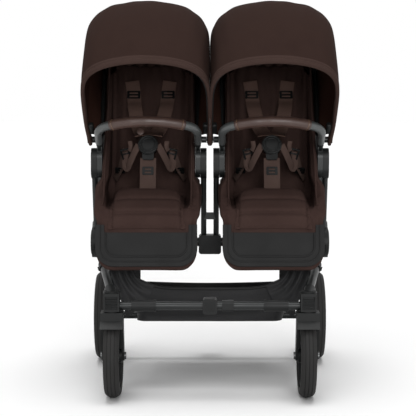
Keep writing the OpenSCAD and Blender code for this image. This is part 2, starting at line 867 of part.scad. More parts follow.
// A seat's metal back frame, its two moulded hubs and the arms for bumper bar and canopy
module seat_frame(s) {
    color(dark_metal) on_seat(s) {
        difference() {
            union() {
                for (m = [-1, 1]) translate([m * hub_mid, 0, 0]) across(hub_t) {
                    slot_2d([0, tilt_z - mount_drop], [0, tilt_z + mount_rise], seat_hub_d);
                    slot_2d([0, tilt_z + mount_rise], bumper_at, ear_d);
                    slot_2d([0, tilt_z + mount_rise], canopy_at, boss_d);
                }
                bent_bar([[-hub_mid, 0, tilt_z], [-hub_mid, back_tube_at.x, back_tube_at.y],
                          [hub_mid, back_tube_at.x, back_tube_at.y], [hub_mid, 0, tilt_z]],
                         [back_bend, back_bend], back_tube_d);
                translate([0, canopy_at.x, canopy_at.y]) {
                    boss_between(hub_mid, bow_out - bow_t - run_gap, boss_d - boss_step);
                    boss_between(hub_mid, bow_out + run_gap, bow_pin);
                    mirror([1, 0, 0]) {
                        boss_between(hub_mid, bow_in - bow_t - run_gap, boss_d - boss_step);
                        boss_between(hub_mid, bow_in + run_gap, bow_pin);
                    }
                }
                for (x = [-guide_x, guide_x])
                    bar([x, back_tube_at.x, back_tube_at.y],
                        [x, back_tube_at.x - guide_len * back_dir.x, back_tube_at.y - guide_len * back_dir.y],
                        guide_d);
            }
            for (m = [-1, 1]) translate([m * hub_mid, 0, 0]) {
                translate([0, bumper_at.x, bumper_at.y]) disc(ear_d + 2 * run_gap, ear_slot);
                translate([m * (hub_out - hub_mid - pivot_len / 2), 0, tilt_z])
                    disc(pivot_d + 2 * pin_gap, pivot_len + 2 * run_gap);
            }
        }
        for (m = [-1, 1])
            translate([m * hub_mid, bumper_at.x, bumper_at.y]) disc(ear_pin, ear_slot + 2 * over);
    }
}

// A boss along X from one offset to another
module boss_between(a, b, d) {
    translate([(a + b) / 2, 0, 0]) disc(d, b - a);
}

// The squeeze handle behind the backrest, which runs on two guides
module recline_handle(s) {
    mid = back_tube_at - squeeze_at * back_dir;
    color(black_plastic) on_seat(s) difference() {
        translate([0, mid.x, mid.y]) rotate([atan2(back_dir.y, back_dir.x), 0, 0])
            linear_extrude(squeeze_t, center = true) round_rect(squeeze_w, squeeze_h, squeeze_r);
        for (x = [-guide_x, guide_x])
            bar([x, back_tube_at.x, back_tube_at.y],
                [x, back_tube_at.x - 2 * guide_len * back_dir.x, back_tube_at.y - 2 * guide_len * back_dir.y],
                guide_d + 2 * pin_gap);
    }
}

side_shares = [[0.03, 0.03], [0.16, 0.105], [0.32, 0.3], [0.507, 0.454], [0.707, 0.694], [0.853, 0.956]];
band_shares = [[0.01, 0], [0.16, 0.105], [0.347, 0.165], [0.613, 0.165], [0.72, 0.07],
               [0.653, -0.015], [0.053, -0.035]];
rest_corner = 68;
rest_sag = 8;
top_corner = 70;
toe_bends = [8, 12, 16, 8];
side_smooth = 24;
// The front of the bucket stands out past the leg rest by a wing on each side
wing = 8;
wing_low = 41;
wing_r = 30;
wing_shares = [[0.01, 0], [0.16, 0.105], [0.347, 0.165], [0.4, 0.165], [0.4, -0.03],
               [0.13, -0.035], [0.12, -0.09], [-0.02, -0.09]];
sag_r = seat_w ^ 2 / (8 * rest_sag);

// The seat's outline from the front: wide at the leg rest, narrow between the hubs
module seat_front_outline() {
    low = tilt_z - rest_drop;
    high = tilt_z + back_rise + over;
    wide = tilt_z - mount_low - over;
    wing_z = front_edge.y - wing_low;
    intersection() {
        translate([0, (low + wide) / 2]) round_rect(seat_w, wide - low, rest_corner);
        translate([0, low + sag_r]) circle(sag_r, $fn = 4 * fine_fn);
    }
    translate([0, (wing_z + wide) / 2]) round_rect(seat_w + 2 * wing, wide - wing_z, wing_r);
    translate([0, (wide - 2 * rest_corner + high) / 2])
        round_rect(bucket_w, high - wide + 2 * rest_corner, top_corner);
}

// The bucket: base and back, side walls that rise to the hubs, and the leg rest
module seat_shell(s) {
    back = shifted(seat_path, -wall_t);
    walls = [for (share = side_shares) seat_share(share)];
    inner = [for (i = [1:len(walls) - 2])
        each corner(walls[i - 1], walls[i], walls[i + 1], side_smooth, 4)];
    side = concat(back, [back_top], flip(concat([walls[0]], inner, [walls[len(walls) - 1]])));
    color(brown_cloth) on_seat(s) intersection() {
        difference() {
            union() {
                across(bucket_w) polygon(side);
                across(seat_w) polygon([for (share = band_shares) seat_share(share)]);
                across(seat_w + 2 * wing) polygon([for (share = wing_shares) seat_share(share)]);
                across(seat_w) polygon(round_outline([front_edge, toe, heel, knee_back], toe_bends));
            }
            across(bucket_w - 2 * wall_t) polygon(concat(
                [pad_start - pad_drop * [rest_dir.y, -rest_dir.x]], seat_path,
                [back_top + back_rise * back_front, pad_start + [-back_rise, back_rise]]));
        }
        rotate([90, 0, 0]) linear_extrude(2 * (back_y - toe_y), center = true) seat_front_outline();
    }
}

pad_edge = 6;
pad_side_gap = 0.5;
pad_half = half_bucket - wall_t - pad_side_gap;
pad_step = 26;
pad_round = 6;
pad_seam = 9;
pad_seam_share = 0.35;
// The cushion is thickest this far behind its front edge
pad_hump = 36;
hump_run = 78;
hump_w = 62;
pad_x_shares = [-1, -0.97, -0.88, -0.7, -0.45, -0.15, 0.15, 0.45, 0.7, 0.88, 0.97, 1];
pad_ramp = 70;

// A dip of one seam, at full depth on the seam
function seam(run, at) = 1 - pad_seam_share * exp(-((run - at) / pad_seam) ^ 2);

// The liner: a cushion that follows the leg rest, the base and the back,
// with a crown across it, drawn in sides and a seam at each bend
module seat_pad(s) {
    path = split(seat_path, pad_step);
    n = len(path) - 1;
    edge_run = norm(front_edge - pad_start);
    base_run = edge_run + norm(crevice - front_edge) - crevice_bend / 2;
    total = run_to(path, n);
    function thick(i) =
        let (run = run_to(path, i), ends = min(run, total - run))
        let (hump = pad_hump * exp(-((run - edge_run - hump_run) / hump_w) ^ 2))
        (mix(pad_edge, pad_t, min(1, ends / pad_ramp)) + hump)
            * seam(run, edge_run) * seam(run, base_run);
    function lift(i, x) = pad_edge / 2 + (thick(i) - pad_edge / 2) * (1 - abs(x) ^ pad_round);
    function at(i, x, off) =
        let (p = path[i] + off * side_of(heading(path, i)))
        [x * pad_half, p.x, p.y];
    outer = [for (i = [0:n]) [for (x = pad_x_shares) at(i, x, lift(i, x))]];
    inner = [for (i = [0:n]) [for (x = pad_x_shares) at(i, x * (1 - seat_gap / pad_t), seat_gap)]];
    color(brown_cloth) on_seat(s) grid_solid(outer, inner);
}

foot_top = 46;
foot_side = 3.5;
foot_low = 16;
foot_t = 5;
foot_border = 30;
foot_border_t = 4;
foot_step = 14;
foot_step_t = 2.5;
foot_corner = 56;
foot_inner_corner = 34;

// The rubber foot panel in its raised border, on the face of the leg rest
module foot_panel(s) {
    face = norm(front_edge - toe);
    top = face - foot_top;
    w = seat_w - 2 * foot_side;
    open_w = w - 2 * foot_border;
    step_w = w - 2 * foot_step;
    // Over this height the border makes way for the liner
    middle = face - pad_drop / rest_dir.y - 2 * seat_gap;
    pass_w = 2 * (pad_half + pad_side_gap);
    color(black_plastic) on_seat(s) translate([0, toe.x, toe.y])
        rotate([atan2(rest_dir.y, rest_dir.x), 0, 0]) translate([0, 0, seat_gap]) {
            linear_extrude(foot_t) difference() {
                intersection() {
                    foot_outline(w, foot_low, top + foot_corner, foot_corner);
                    translate([-w / 2, 0]) square([w, top]);
                }
                translate([-pass_w / 2, middle]) square([pass_w, face]);
            }
            linear_extrude(foot_t + foot_border_t) difference() {
                intersection() {
                    foot_outline(w, foot_low, top + foot_corner, foot_corner);
                    translate([-w / 2, 0]) square([w, top]);
                }
                foot_outline(open_w, foot_low + foot_border, face, foot_inner_corner);
                translate([-pass_w / 2, middle]) square([pass_w, face]);
            }
            linear_extrude(foot_t + foot_border_t + foot_step_t) difference() {
                intersection() {
                    foot_outline(w, foot_low, top + foot_corner, foot_corner);
                    translate([-w / 2, 0]) square([w, top]);
                }
                foot_outline(step_w, foot_low + foot_step, face, foot_corner - foot_step);
            }
        }
}

// A tall rounded rectangle that starts at one height and ends at another
module foot_outline(w, low, high, r) {
    translate([0, (low + high) / 2]) round_rect(w, high - low, r);
}

// Harness

slot_x = 62;
slot_share = 0.84;
strap_mid_share = 0.64;
strap_low_share = 0.46;
strap_mid_x = 50;
strap_low_x = 36;
strap_end_gap = 4;
buckle_y = -45;
buckle_rise = 51;
buckle_at = [buckle_y, tilt_z + buckle_rise];
buckle_t = 20;
buckle_slope = 70;
button_d = 34;
button_t = 7;
button_travel = 3;
button_proud = 1.5;
tongue_w = 36;
tongue_h = 16;
tongue_t = 10;
tongue_z = 4;
tongue_r = 7;
crotch_w = 50;
crotch_y = -96;
waist_w = 26;
hip_x = 112;
hip_share = 0.14;
waist_x = 74;
waist_y = -6;
waist_rise = 12;
waist_at = [waist_y, tilt_z + waist_rise];
web_off = web_t / 2 + seat_gap;
buckle_up = [cos(buckle_slope), sin(buckle_slope)];
buckle_out = [-sin(buckle_slope), cos(buckle_slope)];
shoulder_end = buckle_at + buckle_d / 2 * buckle_up + (buckle_t / 2) * buckle_out;

// A flat band of webbing along points
module ribbon(pts, w) {
    side = [1, 0, 0];
    flat = [for (p = pts) [p.y, p.z]];
    off = [for (i = [0:len(pts) - 1])
        let (n = side_of(heading(flat, i)))
        web_t / 2 * [0, n.x, n.y]];
    outer = [for (i = [0:len(pts) - 1]) [pts[i] - w / 2 * side + off[i], pts[i] + w / 2 * side + off[i]]];
    inner = [for (i = [0:len(pts) - 1]) [pts[i] - w / 2 * side - off[i], pts[i] + w / 2 * side - off[i]]];
    grid_solid(outer, inner);
}

function shoulder_path() =
    let (top = on_back(slot_share, pad_t + web_off), mid = on_back(strap_mid_share, pad_t + web_off))
    let (low = on_back(strap_low_share, pad_t + strap_w))
    [[slot_x, top.x, top.y], [strap_mid_x, mid.x, mid.y], [strap_low_x, low.x, low.y],
     [(strap_w + strap_end_gap) / 2, shoulder_end.x, shoulder_end.y + over]];

function waist_path() =
    let (hip = on_back(hip_share, pad_t + web_off), end = buckle_at + buckle_t / 2 * buckle_out)
    [[hip_x, hip.x, hip.y], [waist_x, waist_at.x, waist_at.y],
     [buckle_d / 2 + waist_w / 2, end.x, end.y]];

function crotch_path() =
    let (end = buckle_at - (buckle_d / 2 + tongue_h / 2) * buckle_up + (tongue_z - web_off) * buckle_out)
    let (base = mix(front_edge, crevice, (crotch_y - front_edge.x) / (crevice.x - front_edge.x)))
    [[0, crotch_y, base.y + pad_t + pad_hump + over],
     [0, end.x - tongue_h * buckle_up.x, end.y - tongue_h * buckle_up.y],
     [0, end.x, end.y]];

// Shoulder, waist and crotch straps
module harness(s) {
    color(brown_cloth) on_seat(s) {
        for (m = [0, 1]) mirror([m, 0, 0]) {
            ribbon(shoulder_path(), strap_w);
            ribbon(waist_path(), waist_w);
        }
        ribbon(crotch_path(), crotch_w);
    }
}

adjuster_h = 26;
adjuster_t = 4;
adjuster_rail = 5;
adjuster_r = 3;
adjuster_share = 0.5;
crotch_share = 0.68;
waist_share = 0.45;

// A ladder buckle that lies on a strap
module adjuster(path, i, share, w) {
    p = mix(path[i], path[i + 1], share);
    v = path[i + 1] - path[i];
    a = atan2(v.z, v.y);
    up = a < 0 ? a + 180 : a;
    translate(p) rotate([up, 0, 0]) translate([0, 0, web_off])
        linear_extrude(adjuster_t) difference() {
            round_rect(w + 2 * adjuster_rail, adjuster_h, adjuster_r);
            for (m = [-1, 1]) translate([0, m * (adjuster_h - adjuster_rail) / 4])
                square([w - adjuster_rail, (adjuster_h - 3 * adjuster_rail) / 2], center = true);
        }
}

module strap_adjusters(s) {
    color(black_plastic) on_seat(s) {
        for (m = [0, 1]) mirror([m, 0, 0]) {
            adjuster(shoulder_path(), 0, adjuster_share, strap_w - adjuster_rail);
            adjuster(waist_path(), 0, waist_share, waist_w - adjuster_rail);
        }
        adjuster(crotch_path(), 0, crotch_share, crotch_w / 2);
    }
}

// Puts a piece in the buckle's own frame, with Z out of its face
module at_buckle() {
    translate([0, buckle_at.x, buckle_at.y]) rotate([buckle_slope, 0, 0]) children();
}

// The round buckle with the tongue that takes the crotch strap
module buckle(s) {
    deep = button_t + button_travel + run_gap;
    color(black_plastic) on_seat(s) at_buckle() difference() {
        union() {
            cylinder(d = buckle_d, h = buckle_t);
            translate([0, -(buckle_d + tongue_h) / 2 + tongue_r, tongue_z]) linear_extrude(tongue_t)
                round_rect(tongue_w, tongue_h + 2 * tongue_r, tongue_r);
        }
        translate([0, 0, buckle_t - deep + button_proud])
            cylinder(d = button_d + 2 * pin_gap, h = deep);
    }
}

module buckle_button(s) {
    color(dark_metal) on_seat(s) at_buckle() translate([0, 0, buckle_t - button_t + button_proud])
        cylinder(d = button_d, h = button_t);
}

// Bumper bar

bumper_slope = 141.6;
bumper_side_bend = 45;
bumper_bow = 330;
bumper_shoulder = 104;
bumper_peak = 158;
bumper_start = 15;
eye_t = ear_slot - 2 * run_gap;
bumper_dir = [cos(bumper_slope), sin(bumper_slope)];

// A point of the bumper bar's plane: across the seat and out from the pivots
function on_bumper(x, u) = [x, bumper_at.x + u * bumper_dir.x, bumper_at.y + u * bumper_dir.y];

// The bar between the hubs, arched over the lap, with an eye at each end
module bumper_bar(s) {
    color(dark_metal) on_seat(s) difference() {
        union() {
            bent_bar([on_bumper(-hub_mid, bumper_start), on_bumper(-hub_mid, bumper_shoulder),
                      on_bumper(0, bumper_peak), on_bumper(hub_mid, bumper_shoulder),
                      on_bumper(hub_mid, bumper_start)],
                     [bumper_side_bend, bumper_bow, bumper_side_bend], bumper_d);
            for (m = [-1, 1]) translate([m * hub_mid, bumper_at.x, bumper_at.y]) across(eye_t)
                slot_2d([0, 0], (bumper_start + over) * bumper_dir, bumper_d - 2 * over);
        }
        for (m = [-1, 1]) translate([m * hub_mid, bumper_at.x, bumper_at.y])
            disc(ear_pin + 2 * pin_gap, eye_t + 2 * over);
    }
}

// The stitched wrap round the middle of the bumper bar
module bumper_wrap(s) {
    x = wrap_len / 2;
    u = mix(bumper_peak, bumper_shoulder, x / hub_mid);
    far = mix(bumper_peak, bumper_shoulder, (x + over) / hub_mid);
    color(brown_leather) on_seat(s) difference() {
        bent_bar([on_bumper(-x, u), on_bumper(0, bumper_peak), on_bumper(x, u)], [bumper_bow], wrap_d);
        bent_bar([on_bumper(-x - over, far), on_bumper(0, bumper_peak), on_bumper(x + over, far)],
                 [bumper_bow], bumper_d + bend_swell + 2 * seat_gap);
    }
}

// Canopy

rim_slope = 38.4;
crown_slope = 100;
nape_slope = 140;
// Fullness of the hoop across the seat and along its legs, at the rim and at the crown
rim_power = 1.9;
crown_power = 1.7;
rim_leg_power = 8;
crown_leg_power = 12;
// At the crown the hoops lean outwards
crown_lean = 7;
// The legs are straight up to this share of the radius, and the cloth starts at a lower one
leg_share = 0.6;
tail_share = 0.05;
leg_steps = 4;
top_steps = 20;
canopy_out = 199;
canopy_in = (seat_pitch - canopy_gap) / 2;
bow_t = 4;
bow_w = 14;
bow_pin = 8;
bow_eye = 24;
bow_eye_step = 0.6;
bow_inset = cloth_t + 2 * run_gap;
bow_out = canopy_out - bow_inset;
bow_in = canopy_in - bow_inset;
canopy_steps = 11;

// Radius of the canopy at an angle up from the front
function canopy_r(a) = a < crown_slope
    ? mix(rim_r, crown_r, sin(90 * (a - rim_slope) / (crown_slope - rim_slope)))
    : mix(crown_r, nape_r, 1 - cos(90 * (a - crown_slope) / (nape_slope - crown_slope)));

// How far a hoop has turned from the rim to the crown
function crown_turn(a) = min(1, (a - rim_slope) / (crown_slope - rim_slope));

// Shares of a hoop's half width and radius, up one leg, over the top and down the other
function hoop_shares(a, low) =
    let (n = mix(rim_power, crown_power, crown_turn(a)))
    let (m = mix(rim_leg_power, crown_leg_power, crown_turn(a)))
    let (wide = (1 - leg_share ^ m) ^ (1 / n))
    let (leg = [for (j = [0:leg_steps - 1])
        let (h = mix(low, leg_share, j / leg_steps))
        [(1 - h ^ m) ^ (1 / n), h]])
    let (top = [for (j = [0:top_steps])
        let (c = wide * cos(180 * j / top_steps))
        [c, (1 - abs(c) ^ n) ^ (1 / m)]])
    concat(leg, top, [for (p = flip(leg)) [-p.x, p.y]]);

// Points of a hoop, inset from the cloth's outer face
function hoop(a, low, inset) = let (lean = crown_lean * crown_turn(a)) [for (p = hoop_shares(a, low))
    [((p.x > 0 ? canopy_out : canopy_in) - inset) * p.x + lean * p.y, (canopy_r(a) - inset) * p.y]];

// One row of the canopy's cloth
function canopy_row(a, inset) = [for (p = hoop(a, tail_share, inset))
    [p.x, canopy_at.x - p.y * cos(a), canopy_at.y + p.y * sin(a)]];

// The canopy: a closed sheet that fans from its pivots over the seat
module canopy(s) {
    slopes = [for (i = [0:canopy_steps]) mix(rim_slope, nape_slope, i / canopy_steps)];
    outer = [for (a = slopes) canopy_row(a, 0)];
    inner = [for (a = slopes) canopy_row(a, cloth_t)];
    color(brown_canopy) on_seat(s) grid_solid(outer, inner);
}

// The front bow, which turns on the hubs' pins to open and close the canopy
module canopy_bow(s) {
    outer = hoop(rim_slope, 0, bow_inset);
    inner = hoop(rim_slope, 0, bow_inset + bow_t);
    color(black_plastic) on_seat(s) translate([0, canopy_at.x, canopy_at.y]) difference() {
        union() {
            rotate([180 - rim_slope, 0, 0]) linear_extrude(bow_w, center = true)
                polygon(concat(outer, flip(inner)));
            translate([bow_out - bow_t / 2, 0, 0]) disc(bow_eye, bow_t - 2 * bow_eye_step);
            translate([bow_t / 2 - bow_in, 0, 0]) disc(bow_eye, bow_t - 2 * bow_eye_step);
        }
        disc(bow_pin + 2 * pin_gap, 2 * canopy_out);
    }
}

// Basket

basket_front = -130;
basket_back = 245;
basket_flare = 12;
basket_dip = 43;
basket_wall = 4;
basket_corner = 32;
basket_rim = 6;
basket_rim_h = 9;
hanger_w = 40;
hanger_t = 4;
front_hanger_share = 0.48;
loop_wall = 3;
loop_len = 34;
slab = 0.5;

// Height of the basket's rim at a place along it
function basket_rim_z(y) =
    basket_z - basket_dip * (y - basket_front) / (basket_back - basket_front);

// Lets a level piece fall towards the rear with the rim
module falling() {
    fall = basket_dip / (basket_back - basket_front);
    multmatrix([[1, 0, 0, 0], [0, 1, 0, 0], [0, -fall, 1, fall * basket_front], [0, 0, 0, 1]])
        children();
}

module basket_slab(w, l, z, r) {
    translate([0, (basket_front + basket_back) / 2, z]) linear_extrude(slab) round_rect(w, l, r);
}

// The tapered block of the basket, drawn in by a wall
module basket_block(wall, low, high) {
    l = basket_back - basket_front - 2 * wall;
    hull() {
        basket_slab(basket_w - 2 * wall, l - 2 * basket_flare, low, basket_corner - wall, $fn = 32);
        falling()
            basket_slab(basket_w + 2 * (basket_flare - wall), l, high - slab, basket_corner - wall, $fn = 32);
    }
}

// The cloth basket with its rim and the hangers that loop round the frame
module basket() {
    leg = mix(leg_top, leg_foot, front_hanger_share);
    rim_w = basket_w + 2 * basket_flare;
    rim_l = basket_back - basket_front;
    hang_z = basket_rim_z(fold_y) - basket_rim_h;
    color(black_plastic) {
        difference() {
            basket_block(0, basket_z - basket_h, basket_z);
            basket_block(basket_wall, basket_z - basket_h + basket_wall, basket_z + over);
        }
        falling() translate([0, (basket_front + basket_back) / 2, basket_z - basket_rim_h])
            linear_extrude(basket_rim_h) difference() {
                round_rect(rim_w + 2 * basket_rim, rim_l + 2 * basket_rim, basket_corner + basket_rim);
                round_rect(rim_w - 2 * basket_wall, rim_l - 2 * basket_wall, basket_corner - basket_wall);
            }
        both() {
            translate([rim_w / 2, fold_y - hanger_w / 2, hang_z])
                cube([hanger_t, hanger_w, fold_z - hang_z - cross_d / 2 - loop_wall]);
            difference() {
                translate([rim_w / 2 + hanger_t / 2, fold_y, fold_z])
                    disc(cross_d + 2 * (loop_wall + seat_gap), loop_len);
                translate([rim_w / 2 + hanger_t / 2, fold_y, fold_z])
                    disc(cross_d + 2 * seat_gap, loop_len + 2 * over);
            }
            difference() {
                union() {
                    bar(leg - loop_len / 2 * leg_dir, leg + loop_len / 2 * leg_dir,
                        front_leg_d + 2 * (loop_wall + seat_gap));
                    bar([rim_w / 2, leg.y, basket_rim_z(leg.y) - basket_rim_h / 2], leg, basket_rim_h);
                }
                bar(leg - loop_len * leg_dir, leg + loop_len * leg_dir, front_leg_d + 2 * seat_gap);
            }
        }
    }
}

place() rear_tyre(-1);  // rear_tyre_left
place() rear_tyre(1);  // rear_tyre_right
place() rear_rim(-1);  // rear_rim_left
place() rear_rim(1);  // rear_rim_right
place() front_tyre(-1);  // front_tyre_left
place() front_tyre(1);  // front_tyre_right
place() front_rim(-1);  // front_rim_left
place() front_rim(1);  // front_rim_right
place() front_axle(-1);  // front_axle_left
place() front_axle(1);  // front_axle_right
place() rear_axles();
place() fork(-1);  // fork_left
place() fork(1);  // fork_right
place() swivel_housing(-1);  // swivel_housing_left
place() swivel_housing(1);  // swivel_housing_right
place() swivel_lock(-1);  // swivel_lock_left
place() swivel_lock(1);  // swivel_lock_right
place() front_legs();
place() front_crossbar();
place() crossbar_collars();
place() width_latch();
place() rear_frame();
place() brake_pedal();
place() joint_housings();
place() main_crossbar();
place() centre_block();
place() mount_tubes();
place() seat_mounts();
place() handle_tubes();
place() handlebar();
place() handle_grip();
place() height_lever(-1);  // height_lever_left
place() height_lever(1);  // height_lever_right
place() basket();
place() seat_frame(-1);  // seat_frame_left
place() seat_frame(1);  // seat_frame_right
place() seat_shell(-1);  // seat_shell_left
place() seat_shell(1);  // seat_shell_right
place() seat_pad(-1);  // seat_pad_left
place() seat_pad(1);  // seat_pad_right
place() foot_panel(-1);  // foot_panel_left
place() foot_panel(1);  // foot_panel_right
place() harness(-1);  // harness_left
place() harness(1);  // harness_right
place() strap_adjusters(-1);  // strap_adjusters_left
place() strap_adjusters(1);  // strap_adjusters_right
place() buckle(-1);  // buckle_left
place() buckle(1);  // buckle_right
place() buckle_button(-1);  // buckle_button_left
place() buckle_button(1);  // buckle_button_right
place() bumper_bar(-1);  // bumper_bar_left
place() bumper_bar(1);  // bumper_bar_right
place() bumper_wrap(-1);  // bumper_wrap_left
place() bumper_wrap(1);  // bumper_wrap_right
place() canopy(-1);  // canopy_left
place() canopy(1);  // canopy_right
place() canopy_bow(-1);  // canopy_bow_left
place() canopy_bow(1);  // canopy_bow_right
place() recline_handle(-1);  // recline_handle_left
place() recline_handle(1);  // recline_handle_right
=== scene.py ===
"""Looks of a side by side double stroller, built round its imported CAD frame.

Lengths are metres in the part's own frame unless a name ends in _mm. Side views are (y, z) pairs
measured from the seats' tilt axis and the floor, and Y_SHIFT moves them into the frame.
"""

import json
import logging
import math
from collections.abc import Callable, Iterable, Sequence
from dataclasses import dataclass
from enum import Enum

import bpy
import numpy as np
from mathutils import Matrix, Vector

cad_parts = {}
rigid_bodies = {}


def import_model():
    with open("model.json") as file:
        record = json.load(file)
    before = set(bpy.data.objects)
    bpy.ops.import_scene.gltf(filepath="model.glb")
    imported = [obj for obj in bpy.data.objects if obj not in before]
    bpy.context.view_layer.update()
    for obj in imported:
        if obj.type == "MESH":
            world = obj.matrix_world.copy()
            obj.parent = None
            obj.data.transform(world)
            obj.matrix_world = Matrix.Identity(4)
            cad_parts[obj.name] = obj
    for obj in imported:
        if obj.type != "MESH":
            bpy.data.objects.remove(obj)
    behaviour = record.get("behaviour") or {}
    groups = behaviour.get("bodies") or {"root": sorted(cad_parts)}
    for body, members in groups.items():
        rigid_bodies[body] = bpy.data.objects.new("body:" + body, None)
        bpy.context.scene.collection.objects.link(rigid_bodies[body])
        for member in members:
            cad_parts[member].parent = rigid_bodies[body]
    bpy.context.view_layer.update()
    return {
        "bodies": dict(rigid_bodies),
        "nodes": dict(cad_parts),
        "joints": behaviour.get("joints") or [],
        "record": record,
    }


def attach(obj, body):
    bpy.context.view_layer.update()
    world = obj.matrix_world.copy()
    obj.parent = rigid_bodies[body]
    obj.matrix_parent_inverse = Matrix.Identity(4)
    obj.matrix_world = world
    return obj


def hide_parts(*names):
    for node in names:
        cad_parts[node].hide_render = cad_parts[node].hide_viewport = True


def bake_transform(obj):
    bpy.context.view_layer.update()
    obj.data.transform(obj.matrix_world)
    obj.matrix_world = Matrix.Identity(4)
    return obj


log = logging.getLogger("stroller")

# The tilt axis lies this far behind the middle of the part's outline
Y_SHIFT = -0.07133
SEAT_X = 0.1925
UP = np.array((0.0, 0.0, 1.0))
# Both sides of one seat, by their sign
ENDS = ((1, "outer"), (-1, "inner"))

Piece = bpy.types.Object
Point = tuple[float, float]
Vec = tuple[float, float, float]


class Pattern(Enum):
    """What the surface of a material is made of."""

    WEAVE = "plain weave on the piece's own UV map"
    MELANGE = "mixed yarns, seen as specks"
    GRAIN = "embossed leather grain"
    SPARK = "spark eroded mould texture"
    SATIN = "powder coat or anodised metal"
    WEBBING = "ribbed narrow webbing on the UV map"
    SKIN = "moulded rubber skin"


@dataclass(frozen=True)
class Finish:
    """One material: its colours, its pattern and how it takes light."""

    name: str
    colour: str
    second: str
    pattern: Pattern
    pitch_mm: float
    bump_mm: float
    roughness: float
    metallic: float = 0.0
    ior: float = 1.5
    specular: float = 0.5
    coat: float = 0.0


# Real threads and yarns are about 0.5 mm and the grain of leather, plastic and rubber is finer
# still. None of that would show, so each pattern is drawn at 1 to 3 mm.

# Polyester canopy cloth, tightly woven: matt, with a close even weave.
CANOPY = Finish("woven_polyester_canopy", "#2a1d1a", "#342723", Pattern.WEAVE, 2.4, 0.2, 0.9,
                specular=0.03)
# The same cloth doubled over in the hem, painted lighter than the canopy: a painted highlight where
# the band faces the light.
HEM_PAINTED_HIGHLIGHT = Finish("woven_polyester_hem", "#342622", "#3f312d", Pattern.WEAVE, 2.4, 0.2, 0.88,
             specular=0.05)
# The same cloth's lining, flatter, its colour lifted and warmed as painted bounce light in the
# canopy's shaded inside.
LINING_PAINTED_BOUNCE_LIGHT = Finish("woven_polyester_lining", "#2e1d18", "#38251f", Pattern.MELANGE, 2.5, 0.2, 0.95,
                specular=0.02)
# Knitted seat cover of mixed brown yarns over foam: soft specks, no gloss.
SEAT = Finish("knitted_seat_cover", "#362825", "#42332f", Pattern.MELANGE, 3.0, 0.3, 0.92,
              specular=0.03)
# Pressed polyurethane leatherette: fine pebble grain with a low satin shine.
LEATHERETTE = Finish("pressed_leatherette", "#402f2a", "#4c3a34", Pattern.GRAIN, 2.2, 0.3, 0.42,
                     specular=0.4, coat=0.08)
# Polyester webbing: ribs across the strap, dull.
WEBBING = Finish("polyester_webbing", "#41332f", "#54453f", Pattern.WEBBING, 3.2, 0.4, 0.88,
                 specular=0.05)
# Padded covers of the shoulder straps: the seat's yarns in a flatter weave, painted paler as painted
# light in the seat's shaded inside.
COVER_PAINTED_LIGHT = Finish("woven_strap_cover", "#524039", "#634f48", Pattern.WEBBING, 3.2, 0.3, 0.9,
               specular=0.04)
# Coated nylon basket cloth: nearly black, slight shine on folds.
BASKET = Finish("coated_nylon_cloth", "#151516", "#1e1e1f", Pattern.WEAVE, 3.0, 0.3, 0.6,
                specular=0.25)
# ABS moulded in a spark eroded tool: near black, fine matt texture.
ABS = Finish("moulded_abs", "#101111", "#161717", Pattern.SPARK, 1.2, 0.08, 0.5, specular=0.22)
# Polished nylon for buttons and buckles: the same black, shinier.
NYLON = Finish("polished_nylon", "#0f1010", "#151616", Pattern.SPARK, 1.0, 0.03, 0.24,
               specular=0.16)
# Powder coated aluminium tube: near black satin with a faint orange peel.
TUBE = Finish("powder_coated_aluminium", "#1a1c1c", "#222424", Pattern.SATIN, 0.8, 0.03, 0.36,
              metallic=0.25, specular=0.35)
# Anodised aluminium at the bumper bars' ends: dark grey with a satin shine, the grey raised as a
# painted highlight.
ANODISED_PAINTED_HIGHLIGHT = Finish("anodised_aluminium_painted_highlight", "#4c4e4e", "#575959", Pattern.SATIN, 0.8, 0.02, 0.32,
                  metallic=0.3)
# Zinc plated steel bolts and caps: a plain satin metal.
STEEL = Finish("zinc_plated_steel", "#4c4d4d", "#595a5a", Pattern.SATIN, 0.6, 0.03, 0.35,
               metallic=1.0)
# Foamed EVA tyres with a moulded skin: dull, slightly dusty.
TYRE = Finish("foamed_eva_tyre", "#212121", "#2c2b2a", Pattern.SKIN, 3.0, 0.25, 0.76, specular=0.2)
# Thermoplastic rubber of the foot panels: matt, close grained.
PANEL = Finish("thermoplastic_rubber", "#1c1c1c", "#232323", Pattern.SKIN, 2.0, 0.15, 0.66,
               specular=0.14)
# Polyester sewing thread in tan: a dull gleam.
THREAD = Finish("tan_sewing_thread", "#86694f", "#9c7f63", Pattern.MELANGE, 1.0, 0.1, 0.7,
                specular=0.2)
# The same thread in the cloth's own brown.
DARK_THREAD = Finish("brown_sewing_thread", "#4b3a34", "#57463f", Pattern.MELANGE, 1.0, 0.1, 0.8,
                     specular=0.1)

# Which finish each CAD node takes where its solid shows, by the start of its name
NODE_FINISH: dict[str, Finish] = {
    "rear_tyre": TYRE, "front_tyre": TYRE, "rear_rim": ABS, "front_rim": ABS,
    "front_axle": STEEL, "rear_axles": STEEL, "fork": ABS, "swivel_housing": ABS,
    "swivel_lock": NYLON, "front_legs": TUBE, "front_crossbar": TUBE, "crossbar_collars": ABS,
    "width_latch": ABS, "rear_frame": TUBE, "brake_pedal": ABS, "joint_housings": ABS,
    "main_crossbar": TUBE, "centre_block": ABS, "mount_tubes": TUBE, "seat_mounts": ABS,
    "handle_tubes": TUBE, "handlebar": TUBE, "height_lever": NYLON, "seat_frame": TUBE,
    "foot_panel": PANEL, "strap_adjusters": NYLON, "buckle": NYLON, "buckle_button": NYLON,
    "bumper_bar": TUBE, "canopy_bow": ABS, "recline_handle": ABS,
}


def linear(hex_colour: str) -> tuple[float, float, float, float]:
    """Turns an sRGB hex colour, such as #3b2c28, into linear light with an alpha of one."""
    parts = [int(hex_colour[i:i + 2], 16) / 255 for i in (1, 3, 5)]
    return (*(p / 12.92 if p <= 0.04045 else ((p + 0.055) / 1.055) ** 2.4 for p in parts), 1.0)


